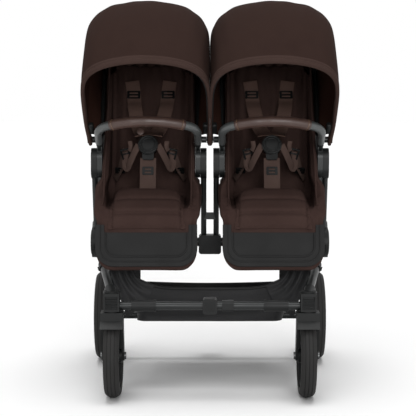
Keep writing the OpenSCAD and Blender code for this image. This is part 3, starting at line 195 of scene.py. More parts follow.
def add_node(tree: bpy.types.NodeTree, kind: str, inputs: dict | None = None,
             **settings: object) -> bpy.types.Node:
    """Adds one node with its settings and links.

    Args:
        tree: the material's or world's node tree.
        kind: the node's type without its ShaderNode prefix.
        inputs: values by socket name or index; a socket as value is linked.
        settings: properties of the node itself.
    Returns:
        The new node.
    """
    made = tree.nodes.new("ShaderNode" + kind)
    for name, value in settings.items():
        setattr(made, name, value)
    for key, value in (inputs or {}).items():
        if isinstance(value, bpy.types.NodeSocket):
            tree.links.new(value, made.inputs[key])
        else:
            made.inputs[key].default_value = value
    return made


class Materials:
    """Makes each finish's material once and hands it out."""

    # A wave texture at scale one repeats every pi / 10 units
    WAVE_SPAN = math.pi / 10
    # How many times finer each noise goes
    DETAIL = {Pattern.MELANGE: 3.0, Pattern.SPARK: 2.0, Pattern.SATIN: 1.0, Pattern.SKIN: 5.0}
    # Size of the blotches that vary colour and gloss, and how far they move the roughness
    BLOTCH_MM = 60.0
    ROUGH_SPREAD = 0.08
    MIN_ROUGHNESS = 0.05

    def __init__(self) -> None:
        """Starts with no material made."""
        self.made: dict[str, bpy.types.Material] = {}

    def get(self, finish: Finish) -> bpy.types.Material:
        """Gives a finish's material, making it on first use."""
        if finish.name not in self.made:
            self.made[finish.name] = self.make(finish)
        return self.made[finish.name]

    def pattern(self, tree: bpy.types.NodeTree, finish: Finish,
                coords: bpy.types.Node) -> bpy.types.NodeSocket:
        """Adds the nodes of a finish's pattern.

        Args:
            tree: the material's node tree.
            finish: the finish drawn.
            coords: the texture coordinate node.
        Returns:
            A height from nought to one.
        """
        pitch = finish.pitch_mm / 1000
        place = coords.outputs["Object"]
        if finish.pattern in (Pattern.WEAVE, Pattern.WEBBING):
            waves = [add_node(tree, "TexWave", {
                "Vector": coords.outputs["UV"], "Scale": self.WAVE_SPAN / pitch, "Distortion": 0.6,
                "Detail": 1.0, "Detail Scale": 2.0}, bands_direction=axis).outputs["Fac"]
                for axis in ("XY" if finish.pattern is Pattern.WEAVE else "Y")]
            if len(waves) == 1:
                return waves[0]
            return add_node(tree, "Math", dict(enumerate(waves)), operation="MAXIMUM").outputs[0]
        if finish.pattern is Pattern.GRAIN:
            grain = {"Vector": place, "Scale": 1 / pitch, "Smoothness": 0.6}
            return add_node(tree, "TexVoronoi", grain, feature="SMOOTH_F1").outputs["Distance"]
        noise = {"Vector": place, "Scale": 1 / pitch, "Detail": self.DETAIL[finish.pattern],
                 "Roughness": 0.6}
        return add_node(tree, "TexNoise", noise).outputs["Fac"]

    def make(self, finish: Finish) -> bpy.types.Material:
        """Builds a finish's node tree.

        Args:
            finish: the finish to build.
        Returns:
            The new material.
        """
        material = bpy.data.materials.new(finish.name)
        material.use_nodes = True
        tree = material.node_tree
        tree.nodes.clear()
        coords = add_node(tree, "TexCoord")
        height = self.pattern(tree, finish, coords)
        blotch = add_node(tree, "TexNoise", {
            "Vector": coords.outputs["Object"], "Scale": 1000 / self.BLOTCH_MM,
            "Detail": 4.0}).outputs["Fac"]
        both = add_node(tree, "Math", {0: height, 1: blotch}, operation="ADD").outputs[0]
        share = add_node(tree, "MapRange", {"Value": both, "From Min": 0.55, "From Max": 1.45})
        # A mix node's colour sockets share names with its number sockets, so they go by number
        colour = add_node(tree, "Mix", {
            0: share.outputs[0], 6: linear(finish.colour), 7: linear(finish.second)},
            data_type="RGBA")
        rough = add_node(tree, "MapRange", {
            "Value": blotch, "From Min": 0.3, "From Max": 0.7,
            "To Min": max(self.MIN_ROUGHNESS, finish.roughness - self.ROUGH_SPREAD),
            "To Max": min(1.0, finish.roughness + self.ROUGH_SPREAD)})
        bump = add_node(tree, "Bump", {
            "Height": height, "Distance": finish.bump_mm / 1000, "Strength": 1.0})
        shader = add_node(tree, "BsdfPrincipled", {
            "Base Color": colour.outputs[2], "Roughness": rough.outputs[0],
            "Normal": bump.outputs["Normal"], "Metallic": finish.metallic,
            "Coat Weight": finish.coat, "Specular IOR Level": finish.specular})
        if finish.metallic < 1:
            shader.inputs["IOR"].default_value = finish.ior
        add_node(tree, "OutputMaterial", {"Surface": shader.outputs[0]})
        return material


MATERIALS = Materials()


def row(y: float, z: float, x: float = 0.0) -> Vec:
    """Moves a side view point, measured from the tilt axis, into the part's frame."""
    return (x, y + Y_SHIFT, z)


def rise(value: float | np.ndarray, start: float, span: float) -> float | np.ndarray:
    """Gives nought up to a start, one from a span beyond it, and a straight line between."""
    return np.clip((value - start) / span, 0, 1)


def fall(value: float | np.ndarray, end: float, span: float) -> float | np.ndarray:
    """Gives one up to a span before an end, nought from the end on, and a straight line between."""
    return np.clip((end - value) / span, 0, 1)


def dent(distance: float | np.ndarray, width: float) -> float | np.ndarray:
    """Gives one in the middle of a seam, dying out over its width."""
    return np.exp(-(distance / width) ** 2)


def unit(vector: np.ndarray) -> np.ndarray:
    """Scales a vector to a length of one."""
    return vector / np.linalg.norm(vector)


def deselect() -> None:
    """Deselects everything, since an operator acts on all that is selected."""
    if bpy.context.object and bpy.context.object.mode != "OBJECT":
        bpy.ops.object.mode_set(mode="OBJECT")
    bpy.ops.object.select_all(action="DESELECT")


def pick(obj: Piece) -> None:
    """Makes one object the only selected and the active one."""
    deselect()
    obj.select_set(True)
    bpy.context.view_layer.objects.active = obj


def link(name: str, data: bpy.types.ID) -> Piece:
    """Puts a mesh, a lamp or the camera into the scene as a new object."""
    obj = bpy.data.objects.new(name, data)
    bpy.context.scene.collection.objects.link(obj)
    return obj


def from_mesh(name: str, points: Iterable[Sequence[float]], faces: Sequence[Sequence[int]],
              uvs: Sequence[Sequence[float]] | None = None) -> Piece:
    """Makes an object of points and faces.

    Args:
        name: the piece's name.
        points: its vertices.
        faces: its faces as vertex numbers.
        uvs: one UV pair for each vertex, in metres along the cloth.
    Returns:
        The new object.
    """
    mesh = bpy.data.meshes.new(name)
    mesh.from_pydata([tuple(map(float, p)) for p in points], [], faces)
    if uvs is not None:
        layer = mesh.uv_layers.new(name="cloth")
        loops = np.array([loop.vertex_index for loop in mesh.loops])
        layer.data.foreach_set("uv", np.asarray(uvs, float)[loops].ravel())
    return link(name, mesh)


def grid_faces(rows: int, columns: int, loop: bool = False) -> list[tuple[int, ...]]:
    """Lists the quads of a grid of points.

    Args:
        rows: number of rows of points.
        columns: number of points in a row.
        loop: whether each row closes on itself.
    Returns:
        The quads as vertex numbers.
    """
    last = columns if loop else columns - 1
    return [(i * columns + j, i * columns + (j + 1) % columns,
             (i + 1) * columns + (j + 1) % columns, (i + 1) * columns + j)
            for i in range(rows - 1) for j in range(last)]


def change(obj: Piece, kind: str, **settings: object) -> None:
    """Adds a modifier to a piece and applies it.

    Args:
        obj: the piece.
        kind: the modifier's type.
        settings: the modifier's values.
    """
    pick(obj)
    modifier = obj.modifiers.new(kind.lower(), kind)
    for name, value in settings.items():
        setattr(modifier, name, value)
    bpy.ops.object.modifier_apply(modifier=modifier.name)


def outward(obj: Piece) -> Piece:
    """Merges a piece's doubles and points its faces outwards."""
    pick(obj)
    bpy.ops.object.mode_set(mode="EDIT")
    bpy.ops.mesh.select_all(action="SELECT")
    bpy.ops.mesh.remove_doubles(threshold=1e-6)
    bpy.ops.mesh.normals_make_consistent(inside=False)
    bpy.ops.object.mode_set(mode="OBJECT")
    return obj


def smooth(obj: Piece, angle: float) -> Piece:
    """Shades a piece smooth, keeping edges sharper than an angle in degrees."""
    pick(obj)
    bpy.ops.object.shade_smooth_by_angle(angle=math.radians(angle))
    return obj


def read_points(obj: Piece, what: str = "co") -> np.ndarray:
    """Gives the places of a piece's vertices, or their normals, as rows."""
    flat = np.empty(len(obj.data.vertices) * 3)
    obj.data.vertices.foreach_get(what, flat)
    return flat.reshape(-1, 3)


def write_points(obj: Piece, points: np.ndarray) -> None:
    """Moves a piece's vertices to new places."""
    obj.data.vertices.foreach_set("co", np.asarray(points, float).ravel())
    obj.data.update()


def mirrored(obj: Piece) -> Piece:
    """Copies a right hand piece to the left with its own mesh.

    Args:
        obj: the right hand piece, whose name has right in it.
    Returns:
        The left hand piece.
    """
    copy = link(obj.name.replace("right", "left"), obj.data.copy())
    points = read_points(copy)
    points[:, 0] *= -1
    write_points(copy, points)
    copy.data.flip_normals()
    return copy


def dress(obj: Piece, finish: Finish, body: str, nodes: Iterable[str] = ()) -> None:
    """Gives a piece its material, its body and the nodes it stands for.

    Args:
        obj: the piece.
        finish: its finish, unless it has a material.
        body: the CAD body it moves with.
        nodes: CAD nodes that it replaces.
    """
    if not obj.data.materials:
        obj.data.materials.append(MATERIALS.get(finish))
    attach(obj, body)
    if nodes:
        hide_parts(*nodes)
    log.info("%s rides on %s", obj.name, body)


def dress_pair(piece: Piece, finish: Finish, body: str, node: str | None = None) -> None:
    """Dresses a right hand piece and its mirrored copy on the left.

    Args:
        piece: the right hand piece.
        finish: the finish of both.
        body: name of the CAD body they move with, up to its side.
        node: name of the CAD node they stand for, up to its side.
    """
    piece.data.materials.append(MATERIALS.get(finish))
    for side, obj in (("right", piece), ("left", mirrored(piece))):
        dress(obj, finish, f"{body}_{side}", [f"{node}_{side}"] if node else [])


def curve_through(points: Sequence[Sequence[float]], steps: int) -> np.ndarray:
    """Runs a smooth curve through points.

    Args:
        points: the points, in order.
        steps: number of steps between two of them.
    Returns:
        The curve's points.
    """
    p = np.asarray(points, float)
    p = np.vstack([2 * p[0] - p[1], p, 2 * p[-1] - p[-2]])
    out = []
    for a, b, c, d in zip(p, p[1:], p[2:], p[3:]):
        for t in np.arange(steps) / steps:
            out.append(0.5 * (2 * b + (c - a) * t + (2 * a - 5 * b + 4 * c - d) * t ** 2
                              + (3 * b - a - 3 * c + d) * t ** 3))
    out.append(p[-2])
    return np.array(out)


def directions(path: np.ndarray, closed: bool = False) -> np.ndarray:
    """Gives the unit direction of a path at each of its points."""
    d = np.roll(path, -1, 0) - np.roll(path, 1, 0) if closed else np.gradient(path, axis=0)
    return d / np.linalg.norm(d, axis=1, keepdims=True)


def run_lengths(path: np.ndarray) -> np.ndarray:
    """Gives the length of a path up to each of its points."""
    return np.concatenate([[0.0], np.cumsum(np.linalg.norm(np.diff(path, axis=0), axis=1))])


def turns(count: int) -> np.ndarray:
    """Gives even angles round a full turn."""
    return np.arange(count) * 2 * math.pi / count


def circle(middle: np.ndarray, side: np.ndarray, up: np.ndarray, radius: float,
           angles: Iterable[float]) -> list[np.ndarray]:
    """Gives points round a circle, at angles from its side towards its up."""
    return [middle + radius * (math.cos(w) * side + math.sin(w) * up) for w in angles]


def tube_along(name: str, path: np.ndarray, radius: float | Callable[[float], float],
               around: int, closed: bool = False) -> Piece:
    """Sweeps a round section along a path.

    Args:
        name: the piece's name.
        path: the path's points.
        radius: the section's radius, or a function that gives it at a share of the path.
        around: number of points round the section.
        closed: whether the path closes on itself.
    Returns:
        The tube, with closed ends.
    """
    n = len(path)
    d = directions(path, closed)
    # Any direction will do that the path doesn't start in
    side = np.cross(d[0], (0.3, 0.2, 1.0))
    rings = []
    for i in range(n):
        side = unit(side - (side @ d[i]) * d[i])
        r = radius(i / (n - 1)) if callable(radius) else radius
        rings += circle(path[i], side, np.cross(d[i], side), r, turns(around))
    faces = grid_faces(n, around, loop=True)
    last = (n - 1) * around
    if closed:
        faces += [(last + k, last + (k + 1) % around, (k + 1) % around, k) for k in range(around)]
    else:
        faces += [tuple(range(around))[::-1], tuple(range(last, n * around))]
    return smooth(outward(from_mesh(name, rings, faces)), 50)


def stitches(name: str, path: np.ndarray, stitch: float, gap: float, radius: float) -> Piece:
    """Lays a row of stitches along a path, each a short thread with its ends drawn in.

    Args:
        name: the piece's name.
        path: where the seam runs.
        stitch: length of one stitch.
        gap: length between two stitches.
        radius: radius of the thread.
    Returns:
        One piece with all the stitches.
    """
    # Points round a thread, its share at the ends, and a direction that no seam runs in
    around, end_share, askew = 5, 0.45, (0.31, 0.2, 0.93)
    run = run_lengths(path)
    count = max(1, int(run[-1] / (stitch + gap)))
    points, faces = [], []
    for i in range(count):
        at = (i + 0.5) * run[-1] / count
        ends = [np.array([np.interp(at + s * stitch / 2, run, path[:, k]) for k in range(3)])
                for s in (-1, 0, 1)]
        d = unit(ends[2] - ends[0])
        side = unit(np.cross(d, askew))
        base = len(points)
        for end, share in zip(ends, (end_share, 1.0, end_share)):
            points += circle(end, side, np.cross(d, side), share * radius, turns(around))
        faces += [tuple(base + v for v in f) for f in grid_faces(len(ends), around, loop=True)]
        faces += [tuple(base + v for v in range(around))[::-1],
                  tuple(base + 2 * around + v for v in range(around))]
    return smooth(outward(from_mesh(name, points, faces)), 60)


def turn_to(start: np.ndarray, end: np.ndarray, centre: Sequence[float] = (0, 0, 0)) -> None:
    """Turns what is selected in edit mode from one direction to another.

    Args:
        start: the direction it has.
        end: the direction it gets.
        centre: the point that stays.
    """
    turn = Vector(start).rotation_difference(Vector(end)).to_euler("XYZ")
    for axis, angle in zip("XYZ", turn):
        if abs(angle) > 1e-6:
            # The operator turns clockwise about its axis
            bpy.ops.transform.rotate(value=-angle, orient_axis=axis, center_override=tuple(centre))


def open_piece(name: str) -> Piece:
    """Names the active object and opens it in edit mode with all of it selected."""
    obj = bpy.context.object
    obj.name = name
    bpy.ops.object.mode_set(mode="EDIT")
    bpy.ops.mesh.select_all(action="SELECT")
    return obj


def round_off(width: float, segments: int) -> None:
    """Bevels what is open in edit mode and selects all of it again."""
    bpy.ops.mesh.bevel(offset=width, segments=segments)
    bpy.ops.mesh.select_all(action="SELECT")


def close_piece(obj: Piece, at: Vec, angle: float) -> Piece:
    """Moves what is open in edit mode to its place, closes it and shades it.

    Args:
        obj: the open piece.
        at: its place.
        angle: edges sharper than this, in degrees, stay sharp.
    Returns:
        The same piece.
    """
    bpy.ops.transform.translate(value=at)
    bpy.ops.object.mode_set(mode="OBJECT")
    return smooth(obj, angle)


def swept(name: str, path: np.ndarray, radius: float, shares: Sequence[float],
          around: int) -> Piece:
    """Sweeps a disc along a path by extruding, turning and resizing it.

    Args:
        name: the piece's name.
        path: the path's points.
        radius: radius of the section.
        shares: share of the radius at each point.
        around: number of points round the section.
    Returns:
        The swept piece.
    """
    d = directions(path)
    deselect()
    bpy.ops.mesh.primitive_circle_add(vertices=around, radius=radius * shares[0], fill_type="NGON")
    obj = open_piece(name)
    turn_to(UP, d[0])
    bpy.ops.transform.translate(value=tuple(path[0]))
    for i in range(1, len(path)):
        bpy.ops.mesh.extrude_region_move(
            TRANSFORM_OT_translate={"value": tuple(path[i] - path[i - 1])})
        turn_to(d[i - 1], d[i], path[i])
        bpy.ops.transform.resize(value=(shares[i] / shares[i - 1],) * 3,
                                 center_override=tuple(path[i]))
    bpy.ops.object.mode_set(mode="OBJECT")
    return smooth(outward(obj), 50)


def rounded(corners: Sequence[Point], radius: float, steps: int = 10) -> np.ndarray:
    """Runs a line through corners of a plane and rounds them.

    Args:
        corners: the corners with both ends.
        radius: radius of each inner corner.
        steps: number of steps in a bend.
    Returns:
        The line's points.
    """
    p = np.asarray(corners, float)
    out = [p[0]]
    for i in range(1, len(p) - 1):
        a, b = unit(p[i - 1] - p[i]), unit(p[i + 1] - p[i])
        half = math.acos(float(np.clip(a @ b, -1, 1))) / 2
        middle = p[i] + (a + b) / np.linalg.norm(a + b) * radius / math.sin(half)
        first, last = p[i] + a * radius / math.tan(half), p[i] + b * radius / math.tan(half)
        bend = (math.pi / 2 - half) * 2
        for t in np.linspace(0, 1, steps + 1):
            v = (first - middle) * math.sin((1 - t) * bend) + (last - middle) * math.sin(t * bend)
            out.append(middle + v / math.sin(bend))
    out.append(p[-1])
    return np.array(out)


def swollen(obj: Piece, cap: float, pressure: float = 4.0, frames: int = 20) -> None:
    """Blows a closed piece up like stuffed cloth, with a limit on how far a point may move.

    Args:
        obj: a closed piece of even faces.
        cap: the furthest that a point may move.
        pressure: the pressure inside.
        frames: number of steps of the simulation.
    """
    start = read_points(obj)
    pick(obj)
    modifier = obj.modifiers.new("cloth", "CLOTH")
    cloth = modifier.settings
    cloth.quality = 4
    cloth.mass = 0.3
    cloth.tension_stiffness = 12
    cloth.compression_stiffness = 12
    cloth.bending_stiffness = 0.6
    cloth.use_pressure = True
    cloth.uniform_pressure_force = pressure
    cloth.effector_weights.gravity = 0
    modifier.collision_settings.use_collision = False
    modifier.point_cache.frame_start = 1
    modifier.point_cache.frame_end = frames
    for frame in range(1, frames + 1):
        bpy.context.scene.frame_set(frame)
    bpy.ops.object.modifier_apply(modifier=modifier.name)
    bpy.context.scene.frame_set(1)
    move = read_points(obj) - start
    far = np.linalg.norm(move, axis=1, keepdims=True)
    write_points(obj, start + move * np.minimum(1, cap / np.maximum(far, 1e-9)))


def soft_copy(node: Piece, name: str, voxel: float, shrink: float, cap: float) -> Piece:
    """Turns a CAD solid into a stuffed piece of the same form.

    Args:
        node: the CAD node's object, which is left alone.
        name: the new piece's name.
        voxel: size of the new faces.
        shrink: how far the skin is drawn in before it is blown up.
        cap: the furthest that a point may swell.
    Returns:
        The stuffed piece.
    """
    obj = link(name, node.data.copy())
    obj.data.materials.clear()
    outward(obj)
    change(obj, "REMESH", mode="VOXEL", voxel_size=voxel)
    change(obj, "SMOOTH", factor=0.5, iterations=4)
    change(obj, "DISPLACE", strength=-shrink, mid_level=0.0)
    swollen(obj, cap)
    change(obj, "SMOOTH", factor=0.5, iterations=2)
    return smooth(obj, 80)


def cloth_piece(name: str, points: Sequence[Sequence[float]], columns: int,
                uvs: Sequence[Sequence[float]], thick: float, angle: float,
                bevel: float = 0.0) -> Piece:
    """Makes a piece of cloth of rows of points.

    Args:
        name: the piece's name.
        points: the points, row after row.
        columns: number of points in a row.
        uvs: one UV pair for each point.
        thick: the cloth's thickness, half of it on each side.
        angle: edges sharper than this, in degrees, stay sharp.
        bevel: width of the bevel on its edges, if any.
    Returns:
        The cloth.
    """
    obj = from_mesh(name, points, grid_faces(len(points) // columns, columns), uvs)
    change(obj, "SOLIDIFY", thickness=thick, offset=0.0)
    if bevel:
        change(obj, "BEVEL", width=bevel, segments=2, limit_method="ANGLE")
    return smooth(outward(obj), angle)


def select_faces(obj: Piece, axis: int) -> None:
    """Leaves a piece in edit mode with only the faces selected that look along an axis.

    Args:
        obj: the piece.
        axis: the axis' number.
    """
    pick(obj)
    bpy.ops.object.mode_set(mode="EDIT")
    bpy.ops.mesh.select_mode(type="FACE")
    bpy.ops.mesh.select_all(action="DESELECT")
    bpy.ops.object.mode_set(mode="OBJECT")
    for face in obj.data.polygons:
        face.select = abs(face.normal[axis]) > 0.9
    bpy.ops.object.mode_set(mode="EDIT")


def sleeve_radius(end: float, radii: Point, roll: float, groove: Vec) -> float:
    """Gives the radius of a sewn sleeve that is rolled in at its ends.

    Args:
        end: distance from the nearer end.
        radii: radius at the very end and the full radius.
        roll: length of the roll.
        groove: depth, place and width of the groove that its stitches draw in.
    Returns:
        The radius.
    """
    depth, at, width = groove
    full = math.sqrt(max(0.0, 1 - (1 - min(1, end / roll)) ** 2))
    return radii[0] + (radii[1] - radii[0]) * full - depth * dent(end - at, width)


@dataclass
class Stage:
    """Floor, lights, world and the camera at the photograph's place."""

    camera_at: Vec = (-0.0009, -4.1017, 0.9229)
    pitch: float = 0.0939
    yaw: float = 0.0013
    focal_px: float = 1274.9
    image_px: float = 416.0
    sensor_mm: float = 36.0
    clip_end: float = 200.0
    floor: float = 60.0
    floor_colour: str = "#fafafa"
    floor_roughness: float = 0.9
    # Strength of the sky at the horizon and overhead, and the height at which it starts to rise
    sky: Point = (0.04, 0.56)
    sky_from: float = 0.15
    # A broad key light, one from above and one from the front that reaches under the canopies:
    # name, strength, spread and turns in degrees
    suns: tuple[tuple[str, float, float, Vec], ...] = (
        ("key", 0.4, 40, (42, 0, -28)), ("top", 1.65, 36, (3, 0, 10)),
        ("front", 1.45, 30, (76, 0, 8)))

    def build(self) -> None:
        """Makes the camera, the lights and the floor."""
        self.camera()
        self.world()
        self.lamps()
        self.ground()
        bpy.context.scene.view_settings.view_transform = "Standard"

    def camera(self) -> None:
        """Sets the camera level with the canopies, looking slightly down."""
        data = bpy.data.cameras.new("camera")
        data.sensor_width = self.sensor_mm
        data.lens = self.sensor_mm * self.focal_px / self.image_px
        data.clip_end = self.clip_end
        obj = link("camera", data)
        obj.location = self.camera_at
        obj.rotation_euler = (math.pi / 2 - self.pitch, 0, self.yaw)
        bpy.context.scene.camera = obj

    def world(self) -> None:
        """Lights the scene from above and shows white behind it."""
        world = bpy.data.worlds.new("studio")
        bpy.context.scene.world = world
        world.use_nodes = True
        tree = world.node_tree
        tree.nodes.clear()
        path = add_node(tree, "LightPath")
        seen = path.outputs["Is Camera Ray"]
        for name in ("Is Glossy Ray", "Is Transmission Ray"):
            seen = add_node(tree, "Math", {0: seen, 1: path.outputs[name]},
                            operation="MAXIMUM").outputs[0]
        # The light falls off towards the horizon, so the floor under the part lies in shadow
        way = add_node(tree, "SeparateXYZ", {0: add_node(tree, "TexCoord").outputs["Generated"]})
        sky = add_node(tree, "MapRange", {
            "Value": way.outputs["Z"], "From Min": self.sky_from, "To Min": self.sky[0],
            "To Max": self.sky[1]}, interpolation_type="SMOOTHSTEP")
        dim, white = (add_node(tree, "Background", {"Color": linear("#ffffff"), "Strength": s})
                      for s in (sky.outputs[0], 1.0))
        mixed = add_node(tree, "MixShader", {
            "Fac": seen, 1: dim.outputs[0], 2: white.outputs[0]})
        add_node(tree, "OutputWorld", {"Surface": mixed.outputs[0]})

    def lamps(self) -> None:
        """Adds the suns."""
        for name, strength, spread, turn in self.suns:
            data = bpy.data.lights.new(name, "SUN")
            data.energy = strength
            data.angle = math.radians(spread)
            link(name, data).rotation_euler = tuple(math.radians(a) for a in turn)

    def ground(self) -> None:
        """Lays a pale floor that takes the object's shadow."""
        deselect()
        bpy.ops.mesh.primitive_plane_add(size=self.floor)
        floor = bpy.context.object
        floor.name = "floor"
        material = bpy.data.materials.new("pale_floor")
        material.use_nodes = True
        shader = material.node_tree.nodes["Principled BSDF"]
        shader.inputs["Base Color"].default_value = linear(self.floor_colour)
        shader.inputs["Roughness"].default_value = self.floor_roughness
        floor.data.materials.append(material)


@dataclass
class Canopy:
    """The cloth canopy over a seat: hemmed round its bow, drawn in behind to the back's sides."""

    # Radius about the pivots and angle up from the front of the rim, the crown and the nape
    pivot: Point = (0.010, 0.760)
    rim_r: float = 0.396
    crown_r: float = 0.440
    nape_r: float = 0.345
    rim_a: float = 38.4
    crown_a: float = 100.0
    nape_a: float = 140.0
    # A hoop's powers across and up, its lean outwards, and its straight legs
    rim_power: float = 1.9
    crown_power: float = 1.7
    rim_leg_power: float = 8.0
    crown_leg_power: float = 12.0
    crown_lean: float = 0.007
    leg_share: float = 0.6
    tail_share: float = 0.05
    leg_turn: float = 30.0
    half_out: float = 0.199
    half_in: float = 0.1965
    # Where both canopies press flat against each other, and how deep in the cloth is free of that
    wall_in: float = 0.19245
    wall_free: float = 0.006
    # Drop and curl of the front corners, and where they start, lie and end
    tail_drop: float = 0.044
    tail_curl: float = 0.020
    tail_top_share: float = 0.25
    tail_a: float = 44.0
    tail_w: float = 12.0
    # How far the sides are drawn in towards the nape, and where that starts and fades
    draw_in: float = 0.036
    draw_a: float = 108.0
    draw_turn: float = 30.0
    draw_top_share: float = 0.98
    draw_fade_share: float = 0.2
    clip_size: Vec = (0.016, 0.017, 0.046)
    clip_bevel: float = 0.005
    clip_x: float = 0.1785
    clip_r: float = 0.060
    cloth: float = 0.003
    skin: float = 0.0012
    hem: float = 0.015
    hem_rise: float = 0.0012
    hem_edge: float = 0.0012
    # Distance behind the rim's plane and inside the outer face, from inside the hem round the bow
    hem_fold: tuple[Point, ...] = (
        (0.012, 0.0120), (0.005, 0.0118), (-0.002, 0.0116), (-0.007, 0.0108), (-0.0095, 0.0086),
        (-0.0106, 0.0058), (-0.0102, 0.0032), (-0.0088, 0.0012), (-0.006, 0.0002), (-0.003, 0.0))
    # Distance of the hem's seams from the rim and from the hem's other edge
    seam_low: float = 0.0035
    seam_in: float = 0.0025
    seam_dip: float = 0.0010
    seam_w: float = 0.0014
    stitch: Vec = (0.0042, 0.0022, 0.0006)
    stitch_turns: Point = (12.0, 168.0)
    thread_out: float = 0.0002
    sag: float = 0.004
    crease: float = 0.0012
    crease_in: float = 0.05
    # Length and pitch of the fine rows behind the rim
    fine_run: float = 0.019
    fine_step: float = 0.0009
    # Foot of the back's rear face and how far that leans back for each metre up
    back_foot: Point = (0.094, 0.562)
    back_lean: float = 0.2835
    panel_x: float = 0.128
    panel_sag: float = 0.006
    blend_depth: float = 0.40
    flat: Point = (1.10, 0.78)
    # The cut's flat area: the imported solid's volume over its thickness, and the rear panel's strips
    area: float = 0.585

    def radius(self, a: float) -> float:
        """Gives the canopy's radius about its pivot at an angle up from the front."""
        if a < self.crown_a:
            share = math.sin(math.pi / 2 * (a - self.rim_a) / (self.crown_a - self.rim_a))
            return self.rim_r + (self.crown_r - self.rim_r) * share
        share = 1 - math.cos(math.pi / 2 * (a - self.crown_a) / (self.nape_a - self.crown_a))
        return self.crown_r + (self.nape_r - self.crown_r) * share

    def crown_turn(self, a: float) -> float:
        """Gives how far a hoop has turned from the rim, at nought, to the crown, at one."""
        return min(1.0, (a - self.rim_a) / (self.crown_a - self.rim_a))

    def shares(self, a: float, t: float) -> Point:
        """Gives a place on a hoop, which has straight legs and a full top.

        Args:
            a: angle of the hoop up from the front, in degrees.
            t: turn round the hoop from the outer tail, from 0 to 180.
        Returns:
            The shares of its half width and of its radius.
        """
        crown = self.crown_turn(a)
        n = self.rim_power + (self.crown_power - self.rim_power) * crown
        m = self.rim_leg_power + (self.crown_leg_power - self.rim_leg_power) * crown
        turn = min(t, 180 - t)
        if turn < self.leg_turn:
            h = self.tail_share + (self.leg_share - self.tail_share) * turn / self.leg_turn
            x = (1 - h ** m) ** (1 / n)
        else:
            x = (1 - self.leg_share ** m) ** (1 / n)
            x *= math.cos(math.pi / 2 * (turn - self.leg_turn) / (90 - self.leg_turn))
            h = (1 - abs(x) ** n) ** (1 / m)
        return (x if t < 90 else -x), h

    def across(self, a: float, t: float, inset: float = 0.0) -> Point:
        """Gives a place on a hoop of the cloth.

        Args:
            a: angle of the hoop up from the front, in degrees.
            t: turn round the hoop from the outer tail, from 0 to 180.
            inset: distance inside the outer face.
        Returns:
            The distance across from the seat's middle and the share of the radius.
        """
        share, h = self.shares(a, t)
        half = self.half_out if share > 0 else self.half_in
        x = (half - inset) * share + self.crown_lean * self.crown_turn(a) * h ** 4
        # Towards the nape the sides stay clear of the handle's tubes when folded
        drawn = self.draw_in * rise(a, self.draw_a, self.draw_turn)
        drawn *= fall(h, self.draw_top_share, self.draw_fade_share)
        return x - math.copysign(drawn, x), h

    def place(self, a: float, x: float, r: float, shift: float = 0.0) -> Vec:
        """Puts a point at a distance from the pivots, and behind a hoop's plane, into the frame."""
        a = math.radians(a)
        return row(self.pivot[0] - r * math.cos(a) + shift * math.sin(a),
                   self.pivot[1] + r * math.sin(a) + shift * math.cos(a), SEAT_X + x)

    def on_hoop(self, a: float, t: float, inset: float, shift: float = 0.0) -> Vec:
        """Gives a point of the cloth at a distance inside its outer face.

        Args:
            a: angle of the hoop up from the front, in degrees.
            t: turn round the hoop from the outer tail, from 0 to 180.
            inset: distance inside the outer face.
            shift: distance behind the hoop's plane.
        Returns:
            The point, in the part's frame.
        """
        x, h = self.across(a, t, inset)
        y, z = self.place(a, 0.0, (self.radius(a) - inset) * h, shift)[1:]
        # The front corners hang down in tails, and the outer ones curl in
        tail = max(0.0, 1 - h / self.tail_top_share) ** 2 * dent(a - self.tail_a, self.tail_w)
        z -= self.tail_drop * tail
        x -= self.tail_curl * tail * (1 + 0.3 * math.sin(1.3 * a)) * (x > 0)
        return (SEAT_X + max(x, max(0.0, inset - self.wall_free) - self.wall_in), y, z)

    def seam_runs(self) -> Point:
        """Gives the distance of both hem seams from the rim."""
        return self.seam_low, self.hem - self.seam_in

    def relief(self, a: float, t: float) -> float:
        """Gives how far the cloth lies inside its stretched form: sag, creases, hem and seams.

        Args:
            a: angle of the hoop up from the front, in degrees.
            t: turn round the hoop from the outer tail, from 0 to 180.
        Returns:
            The distance.
        """
        run = math.radians(a - self.rim_a) * self.rim_r
        sag = self.sag * max(0.0, math.sin(math.pi * self.crown_turn(a)))
        sag *= math.sin(math.radians(t)) ** 2
        # A long and a short wave, each crossed by another
        long = math.sin(0.21 * t + 0.4 * math.sin(0.11 * a)) * math.sin(0.09 * a + 0.05 * t)
        short = 0.6 * math.sin(0.47 * t - 0.13 * a) * math.sin(0.05 * t + 1.0)
        crease = self.crease * (long + short) * min(1, run / self.crease_in)
        hem = -self.hem_rise * (1 - math.tanh((run - self.hem) / self.hem_edge)) / 2
        seams = sum(self.seam_dip * dent(run - s, self.seam_w) for s in self.seam_runs())
        return self.skin + sag + crease + hem + seams

    def on_panel(self, t: float, s: float) -> np.ndarray:
        """Gives a point of the rear panel, which runs from the nape to the sides of the back.

        Args:
            t: turn round the nape from the outer tail, from 0 to 180.
            s: share of the way to the back.
        Returns:
            The point, in the part's frame.
        """
        x, h = self.across(self.nape_a, t)
        start = np.array(self.place(self.nape_a, max(x, -self.wall_in), self.nape_r * h))
        lean = (start[2] - self.back_foot[1]) * self.back_lean
        end = np.array(row(self.back_foot[0] + lean, start[2],
                           SEAT_X + math.copysign(min(abs(x), self.panel_x), x)))
        sag = self.panel_sag * math.sin(math.pi * s) * math.sin(math.radians(t))
        return start + (end - start) * s - sag * UP

